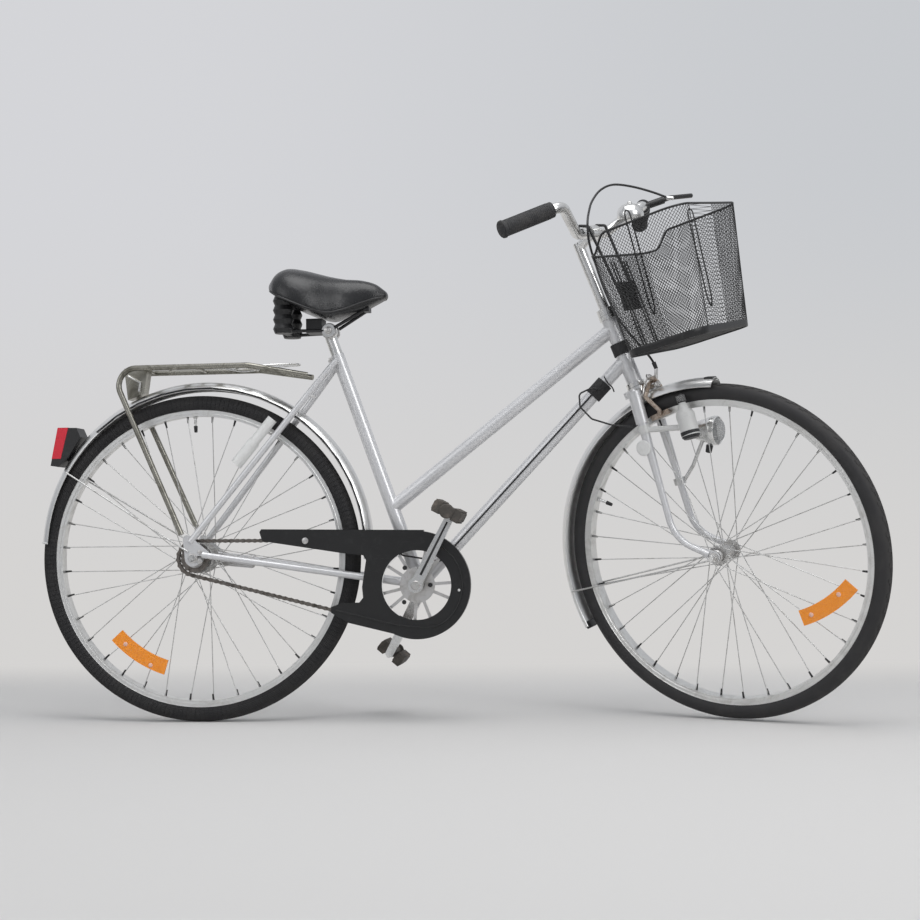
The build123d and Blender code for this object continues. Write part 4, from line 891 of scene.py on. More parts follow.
@dataclass
class Assembly:
    """A part of the bicycle that dresses CAD nodes and adds pieces, measured in millimetres."""

    frame: dict
    steered: bool = False
    home: Body = Body.FRAME
    shop: type[Shop] = Shop

    def at(self, *place: float) -> Vector:
        """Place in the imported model."""
        return LAYOUT.turned(place) if self.steered else LAYOUT.fixed(place)

    def way(self, *direction: float) -> Vector:
        """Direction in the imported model."""
        return LAYOUT.turned_way(direction) if self.steered else Vector(direction)

    def basis(self, ahead: Point = (1, 0, 0), up: Point = (0, 0, 1)) -> Matrix:
        """Rotation whose own X and Z point ahead and up.

        Args:
            ahead: direction of X.
            up: direction near Z.

        Returns:
            The rotation.
        """
        first = self.way(*ahead).normalized()
        third = self.way(*up)
        third = (third - first * third.dot(first)).normalized()
        second = third.cross(first)
        return Matrix((first, second, third)).transposed()

    def rod(self, start: Point, end: Point, radius: float, end_radius: Optional[float] = None, sides: int = 24,
            soft: float = 0.25) -> bpy.types.Object:
        """Round bar with softened ends, as in Shop."""
        last = None if end_radius is None else end_radius / 1000
        return self.shop.rod(self.at(*start), self.at(*end), radius / 1000, last, sides, soft)

    def block(self, centre: Point, size: Point, bevel: float, ahead: Point = (1, 0, 0), up: Point = (0, 0, 1),
              inset: float = 0.0) -> bpy.types.Object:
        """Turned block with softened edges, as in Shop."""
        sides = [side / 1000 for side in size]
        return self.shop.block(self.at(*centre), sides, self.basis(ahead, up), bevel / 1000, inset / 1000)

    def bolt(self, seat: Point, axis: Point, across: float, height: float, stub: float = 0.0) -> bpy.types.Object:
        """Washer and hexagon, as in Shop."""
        return self.shop.hex_bolt(self.at(*seat), self.way(*axis), across / 1000, height / 1000, stub / 1000)

    def lathe(self, profile: Sequence[tuple[float, float]], centre: Point, axis: Point, steps: int = 48) -> bpy.types.Object:
        """Turned solid, as in Shop."""
        outline = [(radius / 1000, along / 1000) for radius, along in profile]
        return self.shop.lathe(outline, self.at(*centre), self.way(*axis), steps)

    def wires(self, routes: Iterable[Sequence[Point]], radius: float, sides: int = 3, smooth: bool = True,
              closed: bool = False) -> bpy.types.Object:
        """Round wires along routes, as in Shop."""
        places = [[self.at(*place) for place in route] for route in routes]
        return self.shop.wires(places, radius / 1000, sides, smooth, closed)

    def dress(self, finish: Finish, *nodes: str) -> None:
        """Gives CAD nodes a finish."""
        for node in nodes:
            piece = self.frame["nodes"][node]
            piece.data.materials.clear()
            piece.data.materials.append(finish.material())

    def add(
        self, name: str, finish: Finish, *pieces: bpy.types.Object, body: Optional[Body] = None,
        replaces: Sequence[str] = (), smooth: Optional[float] = 35.0,
    ) -> bpy.types.Object:
        """Joins, names, dresses and hands over a new piece.

        Args:
            name: its name.
            finish: its finish.
            *pieces: the meshes that it is made of.
            body: the body that it rides on, if not the assembly's own.
            replaces: CAD nodes that it stands for.
            smooth: greatest angle that is smoothed, in degrees.

        Returns:
            The piece.
        """
        whole = self.shop.settle(self.shop.joined(pieces), smooth)
        whole.name = whole.data.name = name
        whole.data.materials.clear()
        whole.data.materials.append(finish.material())
        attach(whole, (body or self.home).value)
        if replaces:
            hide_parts(*replaces)
        log.info("%s: %d faces", name, len(whole.data.polygons))
        return whole


@dataclass
class Wheel(Assembly):
    """Tyre with its tread, spoke nipples, valve and reflector fixings round one axle."""

    front: bool = False
    radius: float = 348.0
    width: float = 37.0
    seat: float = 317.0
    rim_inner: float = 303.5
    steps: int = 216
    spoke_count: int = 36
    valve_angle: float = 92.0
    reflector_face: float = -18.1
    fixings: tuple[tuple[float, float], ...] = ((-162.0, -182.0), (-107.0, -227.0))
    hub_end: float = 58.0

    def __post_init__(self) -> None:
        """Sets what follows from the wheel's place."""
        self.steered = self.front
        self.home = Body.FRONT_WHEEL if self.front else Body.REAR_WHEEL
        self.label = "front" if self.front else "rear"

    def spot(self, radius: float, angle: float, across: float) -> Point:
        """Place from a radius, an angle above the front and a distance to the left."""
        turn = math.radians(angle)
        return (LAYOUT.wheelbase * self.front + radius * math.cos(turn), across, radius * math.sin(turn))

    def tyre(self) -> None:
        """Tyre with a closed section and pressed-in tread grooves."""
        half = self.width / 2
        middle = self.radius - half
        start = math.asin((self.seat - middle) / half)
        count = 26
        profile = []
        for index in range(count + 1):
            angle = start + (math.pi - 2 * start) * index / count
            profile.append((middle + half * math.sin(angle), half * math.cos(angle)))
        piece = self.lathe(profile, self.spot(0, 0, 0), (0, 1, 0), self.steps)
        self.groove(piece)
        self.add(f"{self.label}_tyre_tread", Finishes.tyres[self.front], piece, replaces=[f"{self.label}_tyre"], smooth=40.0)

    def groove(self, piece: bpy.types.Object) -> None:
        """Presses a pattern of slanted grooves into the tread."""
        self.shop.choose(piece)
        centre = self.at(*self.spot(0, 0, 0))
        axis = self.way(0, 1, 0)
        side, up = self.way(1, 0, 0), self.way(0, 0, 1)
        step = 2 * math.pi / self.steps
        for face in piece.data.polygons:
            way = face.center - centre
            across = way.dot(axis)
            turn = math.atan2(way.dot(up), way.dot(side)) % (2 * math.pi)
            band = int(abs(across) / 0.0022)
            column = int(turn / step) + band * (1 if across > 0 else 2)
            face.select = (way - axis * across).length > 0.3405 and band < 6 and column % 3 == 0
        bpy.ops.object.mode_set(mode="EDIT")
        bpy.ops.mesh.select_mode(type="FACE")
        bpy.ops.mesh.inset(thickness=0.0005, depth=-0.0009, use_individual=True)
        bpy.ops.object.mode_set(mode="OBJECT")

    def nipples(self) -> None:
        """Blackened nipples at the rim's inner edge."""
        pieces = []
        pitch = 360.0 / self.spoke_count
        for index in range(self.spoke_count):
            angle = pitch * (index + 0.5)
            side = 1 if index % 2 == 0 else -1
            outer = self.spot(self.rim_inner + 1, angle, side * 3.0)
            inner = self.spot(self.rim_inner - 13, angle, side * 4.6)
            pieces.append(self.rod(outer, inner, 2.5, 1.8, 8, 0))
        self.add(f"{self.label}_nipples", Finishes.plastic, *pieces)

    def valve(self) -> None:
        """Bright valve stem and its black cap."""
        places = [self.spot(self.rim_inner + change, self.valve_angle, 0) for change in (2, -16, -12, -20, -34)]
        stem = self.rod(places[0], places[1], 3.2, sides=16)
        nut = self.rod(self.spot(self.rim_inner - 0.5, self.valve_angle, 0), self.spot(self.rim_inner - 4, self.valve_angle, 0), 5.5, sides=6)
        thread = self.rod(places[1], places[3], 2.4, sides=12)
        self.add(f"{self.label}_valve_stem", Finishes.chrome, stem, nut, thread)
        cap = self.rod(places[3], places[4], 4.4, 3.4, 14)
        self.add(f"{self.label}_valve_cap", Finishes.plastic, cap)

    def reflector(self) -> None:
        """Faded oval fixings on the reflector's face."""
        pieces = []
        for x, z in self.fixings:
            start = (x, self.reflector_face + 1.0, z)
            pieces.append(self.rod(start, (x, self.reflector_face - 1.4, z), 5.2, 4.4, 18))
            pieces.append(self.rod(start, (x, self.reflector_face - 2.4, z), 2.0, 1.6, 12))
        self.add(f"{self.label}_reflector_fixings", Finishes.pink, *pieces)

    def rim_beads(self) -> None:
        """Rolled lips along both edges of the rim."""
        routes = []
        for side in (-1, 1):
            for radius in (self.seat - 0.4, self.rim_inner + 5.5):
                routes.append([self.spot(radius, 360 * index / 96, side * 12.4) for index in range(96)])
        self.add(f"{self.label}_rim_beads", Finishes.alloy, self.wires(routes, 0.9, 1, True, True))

    def hub_trim(self) -> None:
        """Dust caps at the hub's ends."""
        middle = self.spot(0, 0, 0)
        reach = self.hub_end - 11
        caps = []
        for side in (-1, 1):
            profile = [(7.5, 0.0), (7.5, 5.5), (10.0, 5.5), (13.0, 3.0), (13.5, 0.0)]
            centre = (middle[0], side * reach, middle[2])
            caps.append(self.lathe(profile, centre, (0, side, 0), 32))
        self.add(f"{self.label}_hub_caps", Finishes.greasy, *caps)

    def build(self) -> None:
        """Makes and dresses the wheel."""
        self.dress(Finishes.alloy, f"{self.label}_rim")
        self.dress(Finishes.spoke, f"{self.label}_spokes")
        self.dress(Finishes.hub, f"{self.label}_hub")
        self.dress(Finishes.amber, f"{self.label}_reflector")
        self.tyre()
        self.rim_beads()
        self.nipples()
        self.valve()
        self.reflector()
        self.hub_trim()


@dataclass
class Saddle(Assembly):
    """Padded saddle cover over its spring pack."""

    half_width: float = 99.0
    stations: tuple[tuple[float, ...], ...] = (
        (-84, 0.58, -19, -38, -46), (-72, 0.82, -2, -48, -56), (-48, 0.97, 9.5, -60, -70),
        (-15, 1.0, 5.5, -74, -86), (12, 0.91, -1.5, -84, -96), (40, 0.71, -9, -88, -104),
        (70, 0.49, -14.5, -78, -98), (108, 0.37, -18, -60, -88), (140, 0.30, -28, -54, -72),
        (160, 0.19, -44, -57, -61),
    )
    around: int = 40
    swell: float = 0.004

    def between(self, along: float) -> tuple[float, float, float, float]:
        """Half width, crest, edge and hem heights at a place ahead of the rider.

        Args:
            along: place ahead of the rider.

        Returns:
            The four sizes, on a smooth curve through the stations.
        """
        points = self.stations
        index = max(1, min(len(points) - 3, sum(1 for point in points if point[0] <= along) - 1))
        first, second, third, fourth = points[index - 1:index + 3]
        if along < second[0]:
            share = (along - first[0]) / (second[0] - first[0])
            values = [a + (b - a) * share for a, b in zip(first[1:], second[1:])]
        elif along > third[0]:
            share = (along - third[0]) / (fourth[0] - third[0])
            values = [a + (b - a) * share for a, b in zip(third[1:], fourth[1:])]
        else:
            share = (along - second[0]) / (third[0] - second[0])
            values = []
            for a, b, c, d in zip(first[1:], second[1:], third[1:], fourth[1:]):
                slope_b = (c - a) / (third[0] - first[0]) * (third[0] - second[0])
                slope_c = (d - b) / (fourth[0] - second[0]) * (third[0] - second[0])
                cube, square = share ** 3, share ** 2
                values.append((2 * cube - 3 * square + 1) * b + (cube - 2 * square + share) * slope_b
                              + (3 * square - 2 * cube) * c + (cube - square) * slope_c)
        return values[0] * self.half_width, values[1], values[2], values[3]

    def section(self, along: float, drawn: float) -> list[Vector]:
        """Points round the cover at a place ahead of the rider.

        Args:
            along: place ahead of the rider.
            drawn: how far the section is drawn in.

        Returns:
            The points, in metres.
        """
        half, crest, edge, hem = self.between(along)
        half, crest = half - drawn, crest - drawn
        base = edge + (hem - edge) * 0.35
        points = []
        for index in range(self.around):
            angle = 2 * math.pi * index / self.around
            across = math.sin(angle)
            rise = math.cos(angle)
            y = half * math.copysign(abs(across) ** 0.80, across)
            if rise >= 0:
                z = base + (crest - base) * rise ** 0.82
            else:
                z = base + (hem - base) * 0.9 * abs(rise) ** 0.6
                y *= 1 - 0.10 * abs(rise)
            points.append(self.at(LAYOUT.rider[0] + along, y, LAYOUT.rider[2] + z))
        return points

    def cover(self) -> None:
        """Cover that swells a little under pressure, its hem held."""
        drawn = 2.2
        first, last = self.stations[0][0], self.stations[-1][0]
        places = [first + (last - first) * index / 38 for index in range(39)]
        sections = [self.section(along, drawn) for along in places]
        for end, along, change in ((0, first, 4.0), (-1, last, -3.0)):
            middle = sum(sections[end], Vector()) / self.around
            rounded = []
            for share, out in ((0.84, 0.45), (0.55, 0.82), (0.2, 1.0)):
                shift = Vector((-change * out / 1000 * (1 if end == 0 else 1), 0, 0))
                rounded.append([middle + (point - middle) * share + shift for point in sections[end]])
            sections = list(reversed(rounded)) + sections if end == 0 else sections + rounded
        piece = self.shop.skin(sections)
        self.pad(piece)
        self.shop.modified(piece, "SUBSURF", levels=1, render_levels=1)
        self.add("saddle_cover", Finishes.vinyl, piece, replaces=["saddle"], smooth=70.0)

    def pad(self, piece: bpy.types.Object) -> None:
        """Swells the cover with a cloth simulation, each point by no more than a cap.

        Args:
            piece: the cover's mesh.
        """
        self.shop.choose(piece)
        piece.data.remesh_voxel_size = 0.005
        bpy.ops.object.voxel_remesh()
        self.shop.modified(piece, "SMOOTH", factor=0.5, iterations=3)
        rest = [vertex.co.copy() for vertex in piece.data.vertices]
        hem = piece.vertex_groups.new(name="hem")
        held = []
        for vertex in piece.data.vertices:
            place = vertex.co * 1000 + Vector(LAYOUT.rider)
            _, _, edge, _ = self.between(place.x - LAYOUT.rider[0])
            if place.z - LAYOUT.rider[2] < edge + 6:
                held.append(vertex.index)
        hem.add(held, 1.0, "REPLACE")
        cloth = piece.modifiers.new("cloth", "CLOTH")
        cloth.settings.use_pressure = True
        cloth.settings.uniform_pressure_force = 4.0
        cloth.settings.effector_weights.gravity = 0.0
        cloth.settings.vertex_group_mass = hem.name
        cloth.point_cache.frame_end = 20
        for frame in range(1, 21):
            bpy.context.scene.frame_set(frame)
        self.shop.choose(piece)
        bpy.ops.object.modifier_apply(modifier=cloth.name)
        for vertex, start in zip(piece.data.vertices, rest):
            move = vertex.co - start
            if move.length > self.swell:
                vertex.co = start + move.normalized() * self.swell
        bpy.context.scene.frame_set(1)
        self.shop.modified(piece, "SMOOTH", factor=0.5, iterations=2)

    def welt(self) -> None:
        """Rolled welt along the cover's lower edge."""
        first, last = self.stations[0][0] + 1, self.stations[-1][0] - 2
        route = []
        for side, order in ((1, range(21)), (-1, range(20, -1, -1))):
            for index in order:
                along = first + (last - first) * index / 20
                half, _, edge, hem = self.between(along)
                route.append((LAYOUT.rider[0] + along, side * (half - 3), LAYOUT.rider[2] + edge + (hem - edge) * 0.45))
        self.add("saddle_welt", Finishes.plastic, self.wires([route], 2.2, 2, True, True))

    def clamp(self) -> None:
        """Bolts, washers and jaws of the clamp below the saddle, and the seat binder bolt."""
        x, z = LAYOUT.on_seat(478.0).x + 4.16, 478.0
        parts = []
        for side in (-1, 1):
            parts.append(self.bolt((x, side * 28.0, z), (0, side, 0), 14, 5.5, 4))
            parts.append(self.lathe([(15.5, 0), (17.0, 1.2), (17.0, 4.2), (15.5, 5.4), (13.5, 5.4), (13.5, 0)],
                                    (x, side * 14.0, z), (0, side, 0), 32))
        binder = LAYOUT.on_seat(LAYOUT.on_seat(0).z + 424.0)
        for side in (-1, 1):
            parts.append(self.bolt((binder.x - 13, side * 15.0, binder.z - 8), (0, side, 0), 10, 5))
        parts.append(self.rod((binder.x - 13, -15, binder.z - 8), (binder.x - 13, 15, binder.z - 8), 4.0))
        self.add("saddle_clamp_bolts", Finishes.greasy, *parts)

    def build(self) -> None:
        """Makes and dresses the saddle."""
        self.dress(Finishes.plastic, "saddle_springs")
        self.dress(Finishes.chrome, "seat_post")
        self.cover()
        self.welt()
        self.clamp()


@dataclass
class Basket(Assembly):
    """Wire basket: a lattice of thin strands between a dipping rim and a base band."""

    steered: bool = True
    home: Body = Body.STEERING
    place_x: float = 1062.3
    base_height: float = 434.0
    tilt: float = 14.6
    height: float = 251.0
    base: tuple[float, float] = (174.0, 274.0)
    rim: tuple[float, float] = (234.0, 298.0)
    lead: float = 11.7
    corner: float = 45.0
    dip: float = 34.0
    columns: int = 132
    rows: int = 31

    def outline(self, share: float, level: float) -> tuple[float, float]:
        """Place round the basket.

        Args:
            share: way round, from 0 to 1, starting at the middle of the front.
            level: height, from 0 at the base to 1 at the full rim.

        Returns:
            Place ahead and to the left of the basket's middle.
        """
        depth = self.base[0] + (self.rim[0] - self.base[0]) * level
        width = self.base[1] + (self.rim[1] - self.base[1]) * level
        straight = (width - 2 * self.corner, depth - 2 * self.corner)
        arc = math.pi * self.corner / 2
        way = (share % 1.0) * (2 * sum(straight) + 4 * arc) + straight[0] / 2
        heading = math.pi / 2
        x, y = depth / 2, -straight[0] / 2
        for length, curved in ((straight[0], False), (arc, True), (straight[1], False), (arc, True)) * 2:
            part = min(way, length)
            if curved:
                turn = part / self.corner
                middle = (x - self.corner * math.sin(heading), y + self.corner * math.cos(heading))
                heading += turn
                x = middle[0] + self.corner * math.sin(heading)
                y = middle[1] - self.corner * math.cos(heading)
            else:
                x += part * math.cos(heading)
                y += part * math.sin(heading)
            way -= part
            if way <= 1e-9:
                break
        return x + self.lead * level, y

    def rim_level(self, share: float) -> float:
        """Height of the rim at a way round, lower toward the handlebar."""
        x, _ = self.outline(share, 1.0)
        back = min(1.0, max(0.0, (-43.0 - x) / 42.0))
        return 1.0 - back * back * (3 - 2 * back) * self.dip / self.height

    def tilted(self, x: float, y: float, z: float) -> Point:
        """Place in the basket's own axes, on the steering drawn straight ahead."""
        tilt = math.radians(-self.tilt)
        ahead = x * math.cos(tilt) + z * math.sin(tilt)
        raised = -x * math.sin(tilt) + z * math.cos(tilt)
        return (self.place_x + ahead, y, self.base_height + raised)

    def spot(self, share: float, level: float, outward: float = 0.0) -> Point:
        """Place on the basket's wall, or a distance outside it."""
        x, y = self.outline(share, level)
        reach = math.hypot(x, y)
        return self.tilted(x * (1 + outward / reach), y * (1 + outward / reach), self.height * level)

    def wall(self) -> None:
        """Crossed strands from the base to the rim."""
        routes = []
        for way in (-1, 1):
            for column in range(self.columns):
                route = []
                for row in range(2 * self.rows + 1):
                    share = (column + way * row / 2) / self.columns
                    level = 0.02 + 0.98 * row / (2 * self.rows)
                    top = self.rim_level(share)
                    route.append(self.spot(share, min(level, top), -1.4 - 0.25 * way))
                    if level >= top:
                        break
                routes.append(route)
        self.add("basket_wall", Finishes.wire, self.wires(routes, 0.56, 0, False), replaces=["basket"], smooth=None)

    def floor(self) -> None:
        """Lattice across the base."""
        half_x, half_y = self.base[0] / 2 - 2, self.base[1] / 2 - 2
        routes = []
        for way in (-1, 1):
            start = -half_x - half_y
            while start < half_x + half_y:
                inside = []
                for index in range(61):
                    y = -half_y + 2 * half_y * index / 60
                    x = start + way * y
                    over = (abs(x) - half_x + self.corner, abs(y) - half_y + self.corner)
                    rounded = min(over) > 0 and math.hypot(*over) > self.corner
                    if abs(x) < half_x and not rounded:
                        inside.append(self.tilted(x, y, 3.0 + 0.4 * way))
                if len(inside) > 1:
                    routes.append([inside[0], inside[-1]])
                start += 8.4
        self.add("basket_floor", Finishes.wire, self.wires(routes, 0.65, 0, False), smooth=None)

    def hoops(self) -> None:
        """Rim wire and the pressed band round the base."""
        rim = self.wires([[self.spot(index / 200, self.rim_level(index / 200), -2.4) for index in range(200)]], 2.3, 3, True, True)
        sections = []
        for index in range(96):
            share = index / 96
            sections.append([self.at(*self.spot(share, level, out)) for level, out in (
                (0.0, -1.2), (0.0, -3.2), (0.006, -3.6), (0.052, -3.4), (0.058, -2.6), (0.058, -1.0), (0.052, -0.3), (0.006, -0.3))])
        band = self.shop.skin(sections, True)
        self.add("basket_hoops", Finishes.wire, rim, band)

    def handles(self) -> None:
        """Folded carrying handles: narrow wire loops that stand over the side rims."""
        routes = []
        for share in (0.246, 0.754):
            side = [self.spot(share + change, 0, -3.5) for change in (-0.006, 0.006)]
            loops = []
            for change in (-0.0062, 0.0062):
                loops.append([self.spot(share + change, level, -4.0) for level in (0.30, 0.5, 0.75, 1.0, 1.075)])
            crest = self.spot(share, 1.105, -4.0)
            foot = self.spot(share, 0.26, -4.0)
            routes.append([foot] + loops[0] + [crest] + list(reversed(loops[1])) + [foot])
            del side
        self.add("basket_handles", Finishes.wire, self.wires(routes, 1.5, 2))

    def carrier(self) -> None:
        """Holder on the rear wall: uprights, a plate and its rivets."""
        uprights = []
        for y in (-34, -22, 22, 34):
            uprights.append([self.tilted(-self.base[0] / 2 - 0.1 * z + 3.5, y, z) for z in (10, 70, 140, 205)])
        wires = self.wires(uprights, 1.7, 2)
        plate = self.block(self.tilted(-103, 0, 131), (9, 62, 52), 3.0, ahead=self.lean(1, 0), up=self.lean(0, 1))
        rivets = [self.rod(self.tilted(-110, y, z), self.tilted(-100, y, z), 4.2, sides=14) for y in (-22, 22) for z in (114, 148)]
        self.add("basket_holder", Finishes.wire, wires, plate, *rivets)

    def lean(self, x: float, z: float) -> Point:
        """Direction in the basket's own axes."""
        tilt = math.radians(-self.tilt)
        return (x * math.cos(tilt) + z * math.sin(tilt), 0.0, -x * math.sin(tilt) + z * math.cos(tilt))

    def build(self) -> None:
        """Makes and dresses the basket."""
        self.dress(Finishes.wire, "basket_hooks")
        self.wall()
        self.floor()
        self.hoops()
        self.handles()
        self.carrier()


@dataclass
class Frame(Assembly):
    """Tubes, fenders, rack, rear lamp and the small pieces on them."""

    fender_radius: float = 364.0
    fender_shift: tuple[float, float] = (13.0, 12.5)
    fender_sweep: tuple[float, float] = (-3.0, 176.5)
    fender_half: float = 25.0
    fender_depth: float = 17.0

    def dressing(self) -> None:
        """Dresses the frame's nodes."""
        self.dress(Finishes.lacquer, "head_tube", "top_tube", "down_tube", "seat_tube", "bracket_shell", "seat_stays",
                   "chain_stays")
        self.dress(Finishes.chrome, "headset_cups", "rear_axle")
        self.dress(Finishes.greasy, "brake_arm")
        self.dress(Finishes.dulled, "rear_rack", "rack_plate")
        self.dress(Finishes.sheets[False], "rear_fender")
        self.dress(Finishes.spoke, "rear_fender_stays")
        self.dress(Finishes.white, "stay_lock")
        self.dress(Finishes.plastic, "rear_lamp_housing", "lamp_wire_rear", "lamp_wire_loop")
        self.dress(Finishes.red, "rear_lamp_lens")

    def tapes(self) -> None:
        """Black tape round the down tube and a band round the head tube."""
        bracket, top = Vector((474.6, 0, -60.7)), Vector((856, 0, 341))
        way = (top - bracket).normalized()
        parts = []
        for centre, axis, reach, radius in ((top, way, 19.0, 17.6), (LAYOUT.on_head(425.0), LAYOUT.head_up, 13.0, 19.6)):
            profile = [(radius - 3, -reach), (radius - 0.4, -reach), (radius, -reach + 0.8), (radius - 0.2, 0.0),
                       (radius, reach - 0.8), (radius - 0.4, reach), (radius - 3, reach)]
            parts.append(self.lathe(profile, tuple(centre), tuple(axis), 40))
        self.add("tube_tapes", Finishes.tape, *parts)

    def bolts(self) -> None:
        """Axle nuts and dropout bolts."""
        parts = []
        for side in (-1, 1):
            parts.append(self.bolt((0, side * 62, 0), (0, side, 0), 17, 7.5, 6))
            for x, z in ((16.0, 13.0), (14.0, -6.0)):
                parts.append(self.bolt((x, side * 60, z), (0, side, 0), 10, 4.5))
        self.add("rear_bolts", Finishes.greasy, *parts)

    def edge(self, angle: float, across: float, drop: float) -> Point:
        """Place on the rear fender."""
        turn = math.radians(angle)
        reach = self.fender_radius - drop
        return (self.fender_shift[0] + reach * math.cos(turn), across, self.fender_shift[1] + reach * math.sin(turn))

    def fender(self) -> None:
        """Rolled edges and the end bead of the rear fender."""
        first, last = self.fender_sweep
        angles = [first + (last - first) * index / 60 for index in range(61)]
        routes = [[self.edge(angle, side * (self.fender_half - 0.9), self.fender_depth) for angle in angles] for side in (-1, 1)]
        across = []
        for index in range(13):
            turn = math.pi * index / 12
            across.append(self.edge(last - 0.4, (self.fender_half - 1) * math.cos(turn), self.fender_depth * (1 - math.sin(turn) ** 0.7)))
        self.add("rear_fender_edges", Finishes.sheets[False], self.wires([*routes, across], 1.3, 2))

    def rack(self) -> None:
        """Spring clip wires, rivets and struts of the rack."""
        clip = [[(28, -26, 412), (56, -26, 408), (90, -30, 400), (150, -26, 409), (214, -12, 410), (222, 0, 410),
                 (214, 12, 410), (150, 26, 409), (90, 30, 400), (56, 26, 408), (28, 26, 412)]]
        wires = self.wires(clip, 2.2, 2)
        strut = self.wires([[(-153, -20, 393), (-126, -20, 378), (-129, -20, 359)]], 2.6, 2, False)
        self.add("rack_clip", Finishes.chrome, wires, strut)
        rivets = [self.rod((x, -62, z), (x, -57, z), 4.4, 3.4, 16) for x, z in ((-46, 401), (98, 401))]
        self.add("rack_rivets", Finishes.dulled, *rivets)

    def lamp(self) -> None:
        """Foot of the rear lamp."""
        foot = self.rod((-284, 0, 240), (-297, 0, 214), 9, 7, 20)
        self.add("rear_lamp_foot", Finishes.plastic, foot)

    def head_wires(self) -> None:
        """Short ends of the wires beside the head tube."""
        routes = [[(868, -24, 366), (874, -25, 352), (886, -25, 343), (888, -25, 333)]]
        self.add("wire_ends", Finishes.plastic, self.wires(routes, 1.4, 2))

    def build(self) -> None:
        """Makes and dresses the frame."""
        self.dressing()
        self.tapes()
        self.bolts()
        self.fender()
        self.rack()
        self.lamp()
        self.head_wires()


